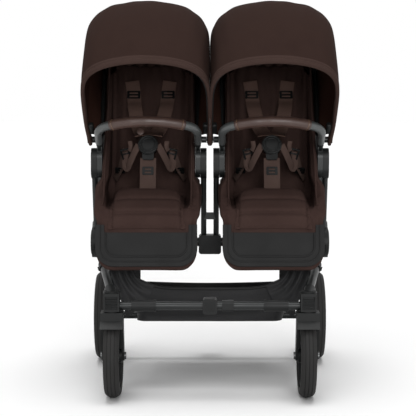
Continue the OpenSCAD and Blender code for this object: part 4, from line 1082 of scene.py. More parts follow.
    def rows(self, turns_round: np.ndarray) -> tuple[np.ndarray, int]:
        """Gives the cloth's rows from inside the hem, round the bow and over the seat to the back.

        Args:
            turns_round: turns round the hoop.
        Returns:
            The rows of points, and the number of rows that the hem takes up.
        """
        lines = [[self.on_hoop(self.rim_a, t, inset, shift) for t in turns_round]
                 for shift, inset in self.hem_fold]
        fine = [self.rim_a + math.degrees(s / self.rim_r)
                for s in np.arange(0, self.fine_run, self.fine_step)]
        over = list(np.linspace(fine[-1], self.nape_a, 64)[1:])
        lines += [[self.on_hoop(a, t, self.relief(a, t)) for t in turns_round]
                  for a in fine + over]
        lines += [[self.on_panel(t, s) for t in turns_round] for s in np.linspace(0, 1, 9)[1:]]
        return np.array(lines), len(self.hem_fold) + int(self.hem / self.fine_step)

    def build(self) -> Piece:
        """Makes the right hand canopy as one sheet, lined on the inside.

        Returns:
            The canopy.
        """
        leg = np.linspace(0, self.leg_turn, 15)[:-1]
        top = np.linspace(self.leg_turn, 180 - self.leg_turn, 97)
        grid, hem_rows = self.rows(np.concatenate([leg, top, 180 - leg[::-1]]))
        columns = grid.shape[1]
        across = np.array([run_lengths(line) for line in grid])
        across -= across[:, [columns // 2]]
        along = np.array([run_lengths(grid[:, j]) for j in range(columns)]).T
        obj = from_mesh("canopy_cloth_right", grid.reshape(-1, 3), grid_faces(len(grid), columns),
                        np.stack([across, along], -1).reshape(-1, 2))
        # The inside takes the next material, so the lining follows the cloth and the hem comes last
        for finish in (CANOPY, LINING_PAINTED_BOUNCE_LIGHT, HEM_PAINTED_HIGHLIGHT):
            obj.data.materials.append(MATERIALS.get(finish))
        hem_faces = hem_rows * (columns - 1)
        # The hem's faces take the hem's colour, painted lighter as a painted highlight
        obj.data.polygons.foreach_set("material_index", [
            2 if i < hem_faces else 0 for i in range(len(obj.data.polygons))])
        middle = Vector(row(*self.pivot, SEAT_X))
        if sum(f.normal.dot(f.center - middle) for f in obj.data.polygons) < 0:
            obj.data.flip_normals()
        # The inside takes the lining, whose colour holds painted bounce light
        change(obj, "SOLIDIFY", thickness=self.cloth, offset=-1.0, material_offset=1,
               material_offset_rim=0)
        return smooth(obj, 60)

    def seam(self, run: float, name: str) -> Piece:
        """Lays one row of stitches along the hem.

        Args:
            run: distance of the row from the rim.
            name: the piece's name.
        Returns:
            The stitches.
        """
        a = self.rim_a + math.degrees(run / self.rim_r)
        path = np.array([self.on_hoop(a, t, self.relief(a, t) - self.thread_out)
                         for t in np.linspace(*self.stitch_turns, 400)])
        obj = stitches(name, path, *self.stitch)
        obj.data.materials.append(MATERIALS.get(DARK_THREAD))
        return obj

    def bend(self, obj: Piece, side: str) -> None:
        """Bakes a piece of cloth's place into its mesh; it is not bent."""
        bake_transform(obj)

    def clip(self, m: int, name: str) -> Piece:
        """Makes the plastic clip on one arm of the bow, near its pivot.

        Args:
            m: which arm, by its sign.
            name: the piece's name.
        Returns:
            The clip.
        """
        deselect()
        bpy.ops.mesh.primitive_cube_add(size=1)
        clip = open_piece(name)
        bpy.ops.transform.resize(value=self.clip_size)
        round_off(self.clip_bevel, 4)
        a = math.radians(self.rim_a)
        turn_to(UP, np.array((0.0, -math.cos(a), math.sin(a))))
        return close_piece(clip, self.place(self.rim_a, m * self.clip_x, self.clip_r), 40)

    def dress(self) -> None:
        right = self.build()
        seams = [self.seam(run, f"hem_stitch_{name}_right")
                 for run, name in zip(self.seam_runs(), ("low", "high"))]
        left = mirrored(right)
        left_seams = [mirrored(s) for s in seams]
        for side, cloth, threads in (("right", right, seams), ("left", left, left_seams)):
            for piece in (cloth, *threads):
                self.bend(piece, side)
            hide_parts(f"canopy_{side}")
            log.info("canopy_%s covered", side)
        for m, end in ENDS:
            clip = self.clip(m, f"canopy_clip_{end}_right")
            dress_pair(clip, ABS, "canopy_bow")


@dataclass
class Seat:
    """The bucket of a seat, its liner and the piping along its edge."""

    edge: Point = (-0.170, 0.552)
    crevice: Point = (0.078, 0.562)
    top: Point = (0.205, 1.010)
    voxel: float = 0.005
    shell_in: float = 0.0015
    shell_cap: float = 0.005
    # Where the walls fill out beside the hubs and the wings below them: distance from the middle,
    # foot, top and its fade, how far out, and the furthest out
    swells: tuple[tuple[float, ...], ...] = ((0.125, 0.60, 0.86, 0.05, 0.0035, 0.1445),
                                             (0.120, 0.565, 0.648, 0.03, 0.018, 0.160))
    swell_edge: float = 0.01
    swell_foot: float = 0.03
    pad_in: float = 0.003
    pad_cap: float = 0.007
    # Where the liner turns from the seat to the back
    back_y: float = 0.04
    back_fade: float = 0.012
    pleat: float = 0.0045
    pleat_pitch: float = 0.036
    pleat_half: float = 0.118
    pleat_fade: float = 0.03
    # Where the pleats start up the back, and over how much of it they grow
    pleat_foot_share: float = 0.12
    pleat_grow_share: float = 0.2
    seam_dip: float = 0.004
    seam_w: float = 0.006
    leg_seam_x: float = 0.108
    knee_r: float = 0.03
    # Middle of the knee's curve, behind and above the seat's edge
    knee_at: Point = (0.004, 0.012)
    fold_drop: float = 0.004
    # How far back the seams across the knee reach
    fold_back: float = -0.13
    knee_back: float = -0.12
    piping: float = 0.0032
    piping_x: float = 0.135
    piping_up: float = 0.001
    # Shares of the bucket's depth and height along the top of a side wall
    wall_shares: tuple[Point, ...] = ((0.03, 0.03), (0.16, 0.105), (0.32, 0.3), (0.507, 0.454),
                                      (0.707, 0.694), (0.853, 0.956))
    # Where the piping arches over the back, from the end of the side wall
    arch: tuple[Vec, ...] = ((0.112, 0.03, 0.018), (0.0, 0.034, 0.022), (-0.112, 0.03, 0.018))

    def shell(self, node: Piece) -> Piece:
        """Makes the padded bucket from its solid.

        Args:
            node: the right hand seat shell's CAD object.
        Returns:
            The bucket.
        """
        obj = soft_copy(node, "seat_bucket_right", self.voxel, self.shell_in, self.shell_cap)
        points = read_points(obj)
        x, z = points[:, 0] - SEAT_X, points[:, 2]
        wide = out = np.abs(x)
        for inner, foot, top, fade, by, limit in self.swells:
            near = rise(out, inner, self.swell_edge) * rise(z, foot, self.swell_foot)
            near *= fall(z, top, fade)
            wide = np.maximum(wide, np.minimum(out + by * near, limit))
        points[:, 0] = SEAT_X + np.sign(x) * wide
        write_points(obj, points)
        return obj

    def liner(self, node: Piece) -> Piece:
        """Makes the stuffed liner from its solid, then presses its seams and pleats into it.

        Args:
            node: the right hand seat pad's CAD object.
        Returns:
            The liner.
        """
        obj = soft_copy(node, "seat_liner_right", self.voxel, self.pad_in, self.pad_cap)
        change(obj, "SUBSURF", levels=1, render_levels=1)
        points = read_points(obj)
        x, y, z = points[:, 0] - SEAT_X, points[:, 1] - Y_SHIFT, points[:, 2]
        out = np.abs(x)
        up = rise(z, self.crevice[1], self.top[1] - self.crevice[1])
        back = 1 / (1 + np.exp(-(y - self.back_y) / self.back_fade))
        # Pleats run up the backrest and die out at its foot and sides
        fade = rise(up, self.pleat_foot_share, self.pleat_grow_share) * back
        fade *= fall(out, self.pleat_half, self.pleat_fade)
        wander = 0.9 * np.sin(9 * up + 0.7) + 0.5 * np.sin(23 * up)
        wave = 0.5 + 0.5 * np.cos(2 * math.pi * x / self.pleat_pitch + wander)
        depth = -self.pleat * fade * wave
        # A seam under the knees, one over them and one down each side of the leg panel
        knee = np.hypot(y - self.edge[0] - self.knee_at[0], z - self.edge[1] - self.knee_at[1])
        seams = [np.abs(z - self.edge[1] + self.fold_drop) + 0.5 * rise(y, self.fold_back, 1),
                 np.abs(knee - self.knee_r) + rise(y, self.knee_back, 1),
                 np.abs(out - self.leg_seam_x) + 10 * back]
        for distance in seams:
            depth -= self.seam_dip * dent(distance, self.seam_w)
        write_points(obj, points + depth[:, None] * read_points(obj, "normal"))
        return smooth(obj, 80)

    def edge_piping(self) -> Piece:
        """Makes the piping along the top of both side walls and over the back.

        Returns:
            The piping.
        """
        depth, height = self.top[0] - self.edge[0], self.top[1] - self.edge[1]
        wall = curve_through([(self.edge[0] + s * depth, self.edge[1] + h * height + self.piping_up)
                              for s, h in self.wall_shares], 12)
        right, left = (np.array([row(y, z, SEAT_X + m * self.piping_x) for y, z in wall])
                       for m, _ in ENDS)
        _, y, z = right[-1]
        arch = [(SEAT_X + across, y + behind, z + above) for across, behind, above in self.arch]
        over = curve_through([right[-1], *arch, left[-1]], 12)
        path = np.vstack([right[:-1], over, left[-2::-1]])
        return tube_along("seat_piping_right", path, self.piping, 10)

    def dress(self, nodes: dict[str, Piece]) -> None:
        """Builds the soft pieces of both seats.

        Args:
            nodes: the CAD objects by node name.
        """
        shell = self.shell(nodes["seat_shell_right"])
        liner = self.liner(nodes["seat_pad_right"])
        piping = self.edge_piping()
        dress_pair(shell, SEAT, "seat", "seat_shell")
        dress_pair(liner, SEAT, "seat", "seat_pad")
        dress_pair(piping, SEAT, "seat")


@dataclass
class Harness:
    """The webbing that holds a child in a seat. Its routes run from the seat's middle."""

    web: float = 0.0025
    web_bevel: float = 0.0006
    cup: float = 0.0015
    strap_w: float = 0.045
    waist_w: float = 0.021
    end_w: float = 0.014
    crotch_w: float = 0.050
    shoulder: tuple[Vec, ...] = (
        (0.062, 0.1609, 0.9444), (0.0585, 0.1560, 0.922), (0.056, 0.1505, 0.900),
        (0.0535, 0.139, 0.878), (0.050, 0.1087, 0.8547), (0.036, 0.060, 0.800),
        (0.024, 0.006, 0.780), (0.0205, -0.0438, 0.7736))
    anchor: tuple[Vec, ...] = ((0.112, 0.0726, 0.6308), (0.095, 0.0385, 0.662),
                               (0.084, 0.012, 0.696), (0.073, -0.006, 0.730))
    waist: tuple[Vec, ...] = (
        (0.030, -0.054, 0.746), (0.043, -0.046, 0.722), (0.057, -0.030, 0.692),
        (0.066, -0.016, 0.672), (0.072, -0.008, 0.672), (0.076, -0.006, 0.690),
        (0.073, -0.009, 0.722))
    end: tuple[Vec, ...] = ((0.060, -0.026, 0.726), (0.056, -0.036, 0.742), (0.058, -0.040, 0.758))
    crotch: tuple[Vec, ...] = ((0.0, -0.1005, 0.598), (0.0, -0.0885, 0.6325),
                               (0.0, -0.0772, 0.662), (0.0, -0.0607, 0.7052))
    # A ladder adjuster's size, frame, bevel, bar, place, and its turns in degrees
    ladder: Vec = (0.030, 0.005, 0.036)
    ladder_frame: float = 0.005
    ladder_bevel: float = 0.0008
    ladder_bar_r: float = 0.0024
    ladder_bar_in: float = 0.004
    ladder_at: Vec = (0.0725, -0.013, 0.716)
    ladder_turns: Point = (-24.0, -14.0)
    # Middle of the buckle's face, its slope, and the radius and thickness of the beads on it
    buckle_face: Point = (-0.0638, 0.7478)
    buckle_slope: float = 70.0
    rings: tuple[Point, ...] = ((0.0272, 0.0026), (0.0205, 0.0016))
    # The pull tab's radius, thickness, bevel and place
    tab_r: float = 0.011
    tab_t: float = 0.0035
    tab_bevel: float = 0.0012
    tab_at: Vec = (0.0237, -0.058, 0.788)

    def ribbon(self, name: str, points: Sequence[Vec], width: float, facing: Vec,
               m: int = 1) -> Piece:
        """Sweeps one strap along points.

        Args:
            name: the piece's name.
            points: (x, y, z) from the seat's middle and the tilt axis.
            width: the strap's width.
            facing: the way its face looks.
            m: which side of the seat, by its sign.
        Returns:
            The strap, a little cupped across.
        """
        route = curve_through([(m * x, y, z) for x, y, z in points], 14)
        path = np.array([row(p[1], p[2], SEAT_X + p[0]) for p in route])
        d = directions(path)
        cells = np.linspace(-1, 1, 9)
        run = run_lengths(path)
        grid, uvs = [], []
        for i, p in enumerate(path):
            side = unit(np.cross(d[i], facing))
            out = np.cross(side, d[i])
            grid += [p + side * c * width / 2 + out * self.cup * (1 - c * c) for c in cells]
            uvs += [(c * width / 2, run[i]) for c in cells]
        return cloth_piece(name, grid, len(cells), uvs, self.web, 50, self.web_bevel)

    def adjuster(self, name: str, m: int) -> Piece:
        """Makes a ladder adjuster of a waist strap: a bevelled frame with one bar across it.

        Args:
            name: the piece's name.
            m: which side of the seat, by its sign.
        Returns:
            The adjuster.
        """
        deselect()
        bpy.ops.mesh.primitive_cube_add(size=1)
        frame = bpy.context.object
        bpy.ops.transform.resize(value=self.ladder)
        bpy.ops.object.transform_apply(scale=True)
        select_faces(frame, 1)
        bpy.ops.mesh.inset(thickness=self.ladder_frame)
        bpy.ops.mesh.bridge_edge_loops()
        bpy.ops.mesh.select_all(action="SELECT")
        round_off(self.ladder_bevel, 2)
        bpy.ops.object.mode_set(mode="OBJECT")
        bpy.ops.mesh.primitive_cylinder_add(
            vertices=16, radius=self.ladder_bar_r, depth=self.ladder[0] - self.ladder_bar_in,
            rotation=(0, math.pi / 2, 0))
        bar = bpy.context.object
        pick(frame)
        bar.select_set(True)
        bpy.ops.object.join()
        open_piece(name)
        for axis, turn in (("Y", self.ladder_turns[1] * m), ("X", self.ladder_turns[0])):
            bpy.ops.transform.rotate(value=math.radians(turn), orient_axis=axis,
                                     center_override=(0, 0, 0))
        x, y, z = self.ladder_at
        return close_piece(frame, row(y, z, SEAT_X + x * m), 40)

    def ring(self, name: str, radius: float, thick: float) -> Piece:
        """Makes a moulded bead round the buckle's face.

        Args:
            name: the piece's name.
            radius: radius of the bead's middle line.
            thick: radius of its section.
        Returns:
            The bead.
        """
        deselect()
        bpy.ops.mesh.primitive_torus_add(major_radius=radius, minor_radius=thick,
                                         major_segments=72, minor_segments=14)
        ring = open_piece(name)
        slope = math.radians(self.buckle_slope)
        turn_to(UP, np.array((0.0, -math.sin(slope), math.cos(slope))))
        return close_piece(ring, row(*self.buckle_face, SEAT_X), 60)

    def tab(self) -> Piece:
        """Makes the round pull tab beside the left hand buckle.

        Returns:
            The tab.
        """
        deselect()
        bpy.ops.mesh.primitive_cylinder_add(vertices=40, radius=self.tab_r, depth=self.tab_t)
        tab = open_piece("harness_tab_left")
        round_off(self.tab_bevel, 3)
        bpy.ops.transform.rotate(value=math.radians(-self.buckle_slope), orient_axis="X",
                                 center_override=(0, 0, 0))
        x, y, z = self.tab_at
        return close_piece(tab, row(y, z, -SEAT_X - x), 40)

    def dress(self) -> None:
        """Builds the straps of both seats and what sits on them."""
        straps = []
        for m, end in ENDS:
            # The shoulder straps' covers are painted paler: painted light in the shaded seat
            straps.append((self.ribbon(f"shoulder_strap_{end}_right", self.shoulder, self.strap_w,
                                       (0, -0.9, 0.4), m), COVER_PAINTED_LIGHT))
            for name, points, width in (("waist_anchor", self.anchor, self.waist_w),
                                        ("waist_strap", self.waist, self.waist_w),
                                        ("waist_end", self.end, self.end_w)):
                straps.append((self.ribbon(f"{name}_{end}_right", points, width,
                                           (0.3 * m, -0.9, 0.3), m), WEBBING))
        straps.append((self.ribbon("crotch_strap_right", self.crotch, self.crotch_w,
                                   (0, -1, 0.1)), WEBBING))
        for i, (piece, finish) in enumerate(straps):
            dress_pair(piece, finish, "seat", "harness" if i == 0 else None)
        dress(self.tab(), LEATHERETTE, "seat_left")
        hard = [self.adjuster(f"waist_adjuster_{end}_right", m) for m, end in ENDS]
        hard += [self.ring(f"buckle_ring_{i}_right", *size) for i, size in enumerate(self.rings)]
        for piece in hard:
            dress_pair(piece, NYLON, "seat")


@dataclass
class FootBeads:
    """The moulded beads along the raised border of a foot panel."""

    toe: Point = (-0.222, 0.370)
    up: Point = (0.2747, 0.9615)
    # Half width, foot, top, corner radius, height over the panel's back and radius of each bead
    beads: tuple[tuple[float, ...], ...] = ((0.124, 0.046, 0.119, 0.034, 0.0082, 0.0028),
                                            (0.140, 0.030, 0.140, 0.042, 0.0105, 0.0022))

    def dress(self) -> None:
        """Builds the beads of both seats."""
        for i, (half, foot, top, corner, over, radius) in enumerate(self.beads):
            line = rounded([(-half, top), (-half, foot), (half, foot), (half, top)], corner)
            path = np.array([row(self.toe[0] + s * self.up[0] - over * self.up[1],
                                 self.toe[1] + s * self.up[1] + over * self.up[0], SEAT_X + x)
                             for x, s in line])
            bead = swept(f"foot_bead_{i}_right", path, radius, [1.0] * len(path), 12)
            dress_pair(bead, PANEL, "seat")


@dataclass
class BumperWrap:
    """The stitched leatherette wrap on a bumper bar, and the bar's thicker ends."""

    pivot: Point = (-0.015, 0.735)
    slope: float = 141.6
    bow: float = 0.330
    peak: float = 0.158
    shoulder: float = 0.104
    hub_x: float = 0.1546
    half: float = 0.116
    # Radius of the sleeve's ends and of its middle, and length of the roll at each end
    radii: Point = (0.0115, 0.0165)
    roll: float = 0.005
    swell: float = 0.0006
    # Depth, place from the end and width of the groove that the end stitches draw in
    groove: Vec = (0.0011, 0.010, 0.0016)
    end_stitch_size: Vec = (0.0048, 0.0022, 0.0009)
    end_thread_in: float = 0.0003
    seam_half: float = 0.104
    seam_stitch_size: Vec = (0.0048, 0.0022, 0.0008)
    seam_thread_in: float = 0.0002
    # The ends: radius, overlap under the sleeve, bend, and how near the hub they stop
    end_radius: float = 0.0138
    end_under: float = 0.006
    end_bend: float = 0.045
    end_stop: float = 0.028
    # Share of the length and share of the radius there
    end_shares: tuple[Point, ...] = ((0.0, 1.0), (0.7, 0.96), (1.0, 0.82))

    def in_plane(self, x: float, u: float) -> Vec:
        """Puts a point of the bar's plane, across and out from the pivots, into the frame."""
        a = math.radians(self.slope)
        return row(self.pivot[0] + u * math.cos(a), self.pivot[1] + u * math.sin(a), SEAT_X + x)

    def on_bar(self, x: float, lift: float = 0.0) -> np.ndarray:
        """Gives a point of the bar's middle line at a distance across the seat.

        Args:
            x: distance across from the seat's middle.
            lift: distance out along the bar's plane.
        Returns:
            The point, in the part's frame.
        """
        half_turn = math.atan((self.peak - self.shoulder) / self.hub_x)
        if abs(x) <= self.bow * math.sin(half_turn):
            centre = self.peak - self.bow / math.cos(half_turn)
            u = centre + math.sqrt(self.bow ** 2 - x * x)
        else:
            u = self.peak - abs(x) * math.tan(half_turn)
        return np.array(self.in_plane(x, u + lift))

    def sleeve(self) -> Piece:
        """Makes the padded sleeve, full in the middle, rolled in at its ends.

        Returns:
            The sleeve.
        """
        def section(share: float) -> float:
            """Gives the sleeve's radius at a share of its length."""
            end = self.half - abs((2 * share - 1) * self.half)
            swell = self.swell * math.sin(9 * math.pi * share) * math.sin(math.pi * share)
            return sleeve_radius(end, self.radii, self.roll, self.groove) + swell

        path = np.array([self.on_bar(x) for x in np.linspace(-self.half, self.half, 150)])
        return tube_along("bumper_sleeve_right", path, section, 40)

    def end_stitch(self, m: int, name: str) -> Piece:
        """Lays the ring of stitches near one end of the sleeve.

        Args:
            m: which end, by its sign.
            name: the piece's name.
        Returns:
            The stitches.
        """
        step = 0.001
        x = m * (self.half - self.groove[1])
        d = unit(self.on_bar(x + step) - self.on_bar(x - step))
        side = unit(np.cross(d, UP))
        ring = circle(self.on_bar(x), side, np.cross(side, d), self.radii[1] - self.end_thread_in,
                      np.linspace(0, 2 * math.pi, 80))
        return stitches(name, np.array(ring), *self.end_stitch_size)

    def end_tube(self, m: int, name: str) -> Piece:
        """Makes the thicker end of the bar, from under the sleeve round the bend to the hub.

        Args:
            m: which end, by its sign.
            name: the piece's name.
        Returns:
            The end.
        """
        under = self.half - self.end_under
        start = (under, self.peak - under * (self.peak - self.shoulder) / self.hub_x)
        line = rounded([start, (self.hub_x, self.shoulder), (self.hub_x, self.end_stop)],
                       self.end_bend)
        path = np.array([self.in_plane(m * x, u) for x, u in line])
        shares = np.interp(np.linspace(0, 1, len(path)), *zip(*self.end_shares))
        return swept(name, path, self.end_radius, shares, 20)

    def back_seam(self) -> Piece:
        """Lays the long seam behind the sleeve, where its edges meet."""
        path = np.array([self.on_bar(x, self.seam_thread_in - self.radii[1])
                         for x in np.linspace(-self.seam_half, self.seam_half, 120)])
        return stitches("bumper_back_seam_right", path, *self.seam_stitch_size)

    def dress(self) -> None:
        """Builds the wraps and ends of both bumper bars."""
        sleeve = self.sleeve()
        threads = [self.end_stitch(m, f"bumper_end_stitch_{end}_right") for m, end in ENDS]
        threads.append(self.back_seam())
        ends = [self.end_tube(m, f"bumper_end_{end}_right") for m, end in ENDS]
        dress_pair(sleeve, LEATHERETTE, "bumper", "bumper_wrap")
        for thread in threads:
            dress_pair(thread, THREAD, "bumper")
        # The bar's ends are painted a lighter grey: a painted highlight
        for end in ends:
            dress_pair(end, ANODISED_PAINTED_HIGHLIGHT, "bumper")


@dataclass
class Grip:
    """The stitched sleeve on the handlebar."""

    at: Point = (0.52066, 0.99688)
    half: float = 0.250
    radii: Point = (0.0108, 0.017)
    roll: float = 0.006
    groove: Vec = (0.0012, 0.018, 0.0022)
    seam_half: float = 0.235
    # The seam runs forward and down from the middle, in shares of the radius
    seam_shares: Point = (0.6, 0.8)
    stitch: Vec = (0.005, 0.0025, 0.0009)

    def dress(self) -> None:
        """Builds the sleeve, its end rolls and its seam."""
        def section(share: float) -> float:
            """Gives the sleeve's radius at a share of its length."""
            end = self.half * (1 - abs(2 * share - 1))
            return sleeve_radius(end, self.radii, self.roll, self.groove)

        path = np.array([row(*self.at, x) for x in np.linspace(-self.half, self.half, 220)])
        sleeve = tube_along("grip_sleeve", path, section, 40)
        dress(sleeve, LEATHERETTE, "handlebar", ["handle_grip"])
        y, z = (at - share * self.radii[1] for at, share in zip(self.at, self.seam_shares))
        seam = [row(y, z, x) for x in np.linspace(-self.seam_half, self.seam_half, 160)]
        thread = stitches("grip_seam", np.array(seam), *self.stitch)
        dress(thread, THREAD, "handlebar")


@dataclass
class Basket:
    """The cloth basket under the seats, hung from the frame by its corners."""

    front: float = -0.130
    back: float = 0.245
    half_w: float = 0.228
    # Half the length of the oval that the folds of the wall stand square to
    oval_l: float = 0.18
    flare: float = 0.012
    rim_z: float = 0.313
    rim_fall: float = 0.043
    floor_z: float = 0.201
    corner: float = 0.032
    wall: float = 0.0022
    wall_in: float = 0.001
    dip: float = 0.006
    lift: float = 0.026
    lift_w: float = 0.055
    bulge: float = 0.006
    fold: float = 0.0035
    floor_sag: float = 0.003
    floor_wave: float = 0.0005
    piping: float = 0.0042
    piping_drop: float = 0.002
    around: int = 220
    # Length round the rim and height of the wall, for the weave
    wall_cut: Point = (1.6, 0.13)
    # The cross tube's middle and the loop's radius round it, a rear hanger's width and half gap
    fold_at: Point = (0.060, 0.428)
    loop_r: float = 0.0165
    rear_w: float = 0.034
    rear_gap: float = 0.010
    rear_neck: float = 0.39
    rear_hem: float = 0.018
    hanger_out: float = 0.002
    hanger_t: float = 0.0018
    # Ends of a front leg, where a hanger loops round it, the loop's radius and the width
    leg_foot: Vec = (0.289, -0.315, 0.3124)
    leg_top_x: float = 0.365
    leg_share: float = 0.48
    leg_loop_r: float = 0.0145
    front_w: float = 0.030
    # Its ends on the bag, from the rim's corner and from each other
    front_tail: Vec = (-0.004, 0.0, -0.012)
    front_tip: Vec = (0.002, 0.0, -0.006)
    # From under the seat and along the leg, each fold of a gusset hangs down and sweeps in to the
    # bag's front: where the folds start, bend and end
    gusset_high: tuple[Vec, ...] = ((0.243, -0.112, 0.392), (0.272, -0.128, 0.384),
                                    (0.308, -0.150, 0.362))
    gusset_bend: tuple[Vec, ...] = ((0.236, -0.139, 0.322), (0.266, -0.146, 0.312),
                                    (0.290, -0.156, 0.322))
    gusset_low: tuple[Vec, ...] = ((0.172, -0.137, 0.316), (0.196, -0.139, 0.270),
                                   (0.256, -0.142, 0.216))
    gather: float = 0.0040
    gather_way: Vec = (0.35, -1.0, 0.25)
    gathers: float = 3.4
    gather_lag: float = 0.8
    gather_fade_share: float = 0.75
    gusset_cut: Point = (0.12, 0.09)
    flat: Point = (0.78, 0.66)
    # Floor of 0.16 and walls 1.56 round and 0.09 high
    area: float = 0.30

    def outline(self, count: int, grow: float) -> np.ndarray:
        """Gives points round a rounded rectangle.

        Args:
            count: number of points.
            grow: how far it is grown on all sides.
        Returns:
            (x, y) pairs from the basket's middle.
        """
        w, d = self.half_w + grow, (self.back - self.front) / 2 - self.flare + grow
        r = self.corner + grow
        raw = []
        for x, y, turn in ((w - r, d - r, 0), (r - w, d - r, 90), (r - w, r - d, 180),
                           (w - r, r - d, 270)):
            for a in np.radians(turn + np.linspace(0, 90, 12)):
                raw.append((x + r * math.cos(a), y + r * math.sin(a)))
        raw.append(raw[0])
        path = np.array(raw)
        run = run_lengths(path)
        at = np.linspace(0, run[-1], count, endpoint=False)
        return np.stack([np.interp(at, run, path[:, 0]), np.interp(at, run, path[:, 1])], -1)

    def rim_at(self, x: float, y: float) -> float:
        """Gives the rim's height, which falls to the rear, dips and is drawn up at the hangers.

        Args:
            x: distance across from the basket's middle.
            y: distance behind it.
        Returns:
            The height.
        """
        w, d = self.half_w + self.flare, (self.back - self.front) / 2
        ends, sides = (1 - (x / w) ** 2) * (abs(y) / d) ** 4, (1 - (y / d) ** 2) * (abs(x) / w) ** 4
        lift = self.lift * dent(math.hypot(abs(x) - w, y + d), self.lift_w)
        fallen = self.rim_fall * (y + d) / (2 * d)
        return self.rim_z - fallen - self.dip * (ends + sides) + lift

    def bag(self) -> Piece:
        """Makes the lofted, sagging bag.

        Returns:
            The bag.
        """
        count = self.around
        middle = (self.front + self.back) / 2
        shares = np.linspace(0, 1, 26)
        points, uvs = [], []
        for s in shares:
            bulge = self.bulge * math.sin(math.pi * s) ** 2
            for j, (x, y) in enumerate(self.outline(count, self.flare * (1 - s) - self.wall_in)):
                out = unit(np.array([x / self.half_w ** 2, y / self.oval_l ** 2]))
                # Folds run round the wall, deepest near its foot
                wave = math.sin(2 * math.pi * (2.4 * s + 0.35 * math.sin(7 * x + 5 * y)))
                fold = self.fold * wave * s * (1 - 0.4 * s)
                fold += 0.4 * self.fold * math.sin(41 * x + 3 * s) * math.sin(37 * y) * s
                z = self.floor_z + (1 - s) * (self.rim_at(x, y) - self.floor_z)
                points.append(row(middle + y + out[1] * (bulge + fold), z,
                                  x + out[0] * (bulge + fold)))
                uvs.append((j * self.wall_cut[0] / count, s * self.wall_cut[1]))
        rings = 12
        for k in range(1, rings):
            share = 1 - k / rings
            for x, y in self.outline(count, -self.wall_in) * share:
                sag = self.floor_sag * (1 - share ** 2)
                sag += self.floor_wave * math.sin(50 * x) * math.sin(45 * y)
                points.append(row(middle + y, self.floor_z + self.floor_sag - sag, x))
                uvs.append((x, y))
        total = len(shares) + rings - 1
        faces = grid_faces(total, count, loop=True)
        last = (total - 1) * count
        points.append(row(middle, self.floor_z))
        uvs.append((0.0, 0.0))
        faces += [(last + j, last + (j + 1) % count, len(points) - 1) for j in range(count)]
        obj = from_mesh("basket_bag", points, faces, uvs)
        if obj.data.polygons[len(obj.data.polygons) - 1].normal.z > 0:
            obj.data.flip_normals()
        change(obj, "SOLIDIFY", thickness=self.wall, offset=-1.0)
        return smooth(obj, 60)

    def rim(self) -> Piece:
        """Makes the piped rim.

        Returns:
            The piping.
        """
        middle = (self.front + self.back) / 2
        path = np.array([row(middle + y, self.rim_at(x, y) - self.piping_drop, x)
                         for x, y in self.outline(200, self.flare + self.wall_in)])
        return tube_along("basket_rim", path, self.piping, 12, closed=True)

    def rear_hanger(self) -> Piece:
        """Makes the webbing loop that hangs the basket from the cross tube.

        Returns:
            The right hand hanger.
        """
        x = self.half_w + self.flare + self.hanger_out
        y, z = self.fold_at
        low = self.rim_at(x, 0.0) - self.rear_hem
        loop = [(x, y + self.loop_r * math.cos(a), z + self.loop_r * math.sin(a))
                for a in np.radians(np.linspace(-60, 240, 24))]
        strap = [(x, y + self.rear_gap, low), (x, y + self.rear_gap, self.rear_neck), *loop,
                 (x, y - self.rear_gap, self.rear_neck), (x, y - self.rear_gap, low)]
        return self.band("basket_rear_hanger_right", strap, (1.0, 0, 0), self.rear_w)

    def front_hanger(self) -> Piece:
        """Makes the webbing loop that hangs the basket from a front leg.

        Returns:
            The right hand hanger.
        """
        x = self.half_w + self.flare + self.hanger_out
        foot, top = np.array(self.leg_foot), np.array((self.leg_top_x, *self.fold_at))
        leg = top + (foot - top) * self.leg_share
        d = unit(top - foot)
        side = unit(np.cross(d, UP))
        ring = circle(leg, side, np.cross(side, d), self.leg_loop_r,
                      np.radians(np.linspace(230, -50, 24)))
        corner = np.array((x, leg[1], self.rim_at(x, (self.front - self.back) / 2)))
        if np.linalg.norm(ring[0] - corner) > np.linalg.norm(ring[-1] - corner):
            ring = ring[::-1]
        tail = corner + self.front_tail
        return self.band("basket_front_hanger_right", [tail, *ring, tail + self.front_tip],
                         tuple(d), self.front_w)

    def gusset(self) -> Piece:
        """Makes the cloth that gathers from a front corner of the bag up to the front leg.

        Returns:
            The right hand gusset.
        """
        high, bend, low = (curve_through(line, 16) for line in (
            self.gusset_high, self.gusset_bend, self.gusset_low))
        columns = 30
        grid, uvs = [], []
        for v, a, b, c in zip(np.linspace(0, 1, len(high)), high, bend, low):
            for u in np.linspace(0, 1, columns):
                p = a * (1 - u) ** 2 + 2 * b * u * (1 - u) + c * u * u
                wave = math.sin(2 * math.pi * self.gathers * v + self.gather_lag * u)
                depth = self.gather * wave * (1 - self.gather_fade_share * u)
                p = p + np.array(self.gather_way) * depth
                grid.append(row(p[1], p[2], p[0]))
                uvs.append((u * self.gusset_cut[0], v * self.gusset_cut[1]))
        return cloth_piece("basket_gusset_right", grid, columns, uvs, self.wall, 60)

    def band(self, name: str, points: Sequence[Sequence[float]], along: Vec, width: float) -> Piece:
        """Makes a flat band whose width lies along a given direction.

        Args:
            name: the piece's name.
            points: the band's middle line from the tilt axis.
            along: direction of its width.
            width: its width.
        Returns:
            The band.
        """
        path = np.array([row(p[1], p[2], p[0]) for p in curve_through(points, 3)])
        wide = np.array(along) * width / 2
        grid = np.stack([path - wide, path, path + wide], 1).reshape(-1, 3)
        uvs = [(s * width / 2, r) for r in run_lengths(path) for s in (-1, 0, 1)]
        return cloth_piece(name, grid, 3, uvs, self.hanger_t, 50)

    def dress(self) -> None:
        """Builds the bag, its rim, its hangers and its gussets."""
        bag, rim = self.bag(), self.rim()
        hangers = [self.rear_hanger(), self.front_hanger(), self.gusset()]
        hangers += [mirrored(h) for h in hangers]
        dress(bag, BASKET, "chassis", ["basket"])
        for piece in (rim, *hangers):
            dress(piece, BASKET, "chassis")


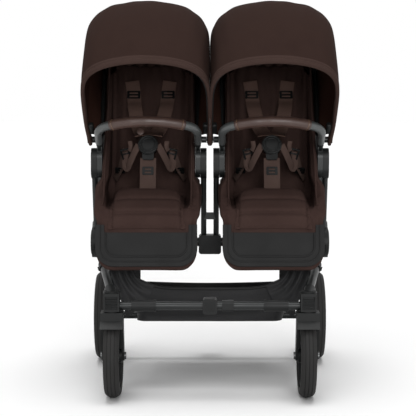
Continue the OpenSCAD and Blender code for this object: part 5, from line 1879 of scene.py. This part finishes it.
def finish_solids(nodes: dict[str, Piece]) -> None:
    """Gives every CAD node that shows its material.

    Args:
        nodes: the CAD objects by node name.
    """
    for name, obj in nodes.items():
        starts = [s for s in NODE_FINISH if name.startswith(s)]
        if not starts:
            continue
        finish = NODE_FINISH[max(starts, key=len)]
        obj.data.materials.clear()
        obj.data.materials.append(MATERIALS.get(finish))
        log.info("%s is %s", name, finish.name)


def main() -> None:
    """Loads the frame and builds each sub-assembly in order."""
    logging.basicConfig(level=logging.INFO, format="%(name)s: %(message)s")
    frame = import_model()
    Stage().build()
    finish_solids(frame["nodes"])
    Canopy().dress()
    Seat().dress(frame["nodes"])
    Harness().dress()
    FootBeads().dress()
    BumperWrap().dress()
    Grip().dress()
    Basket().dress()


if __name__ == "__main__":
    main()
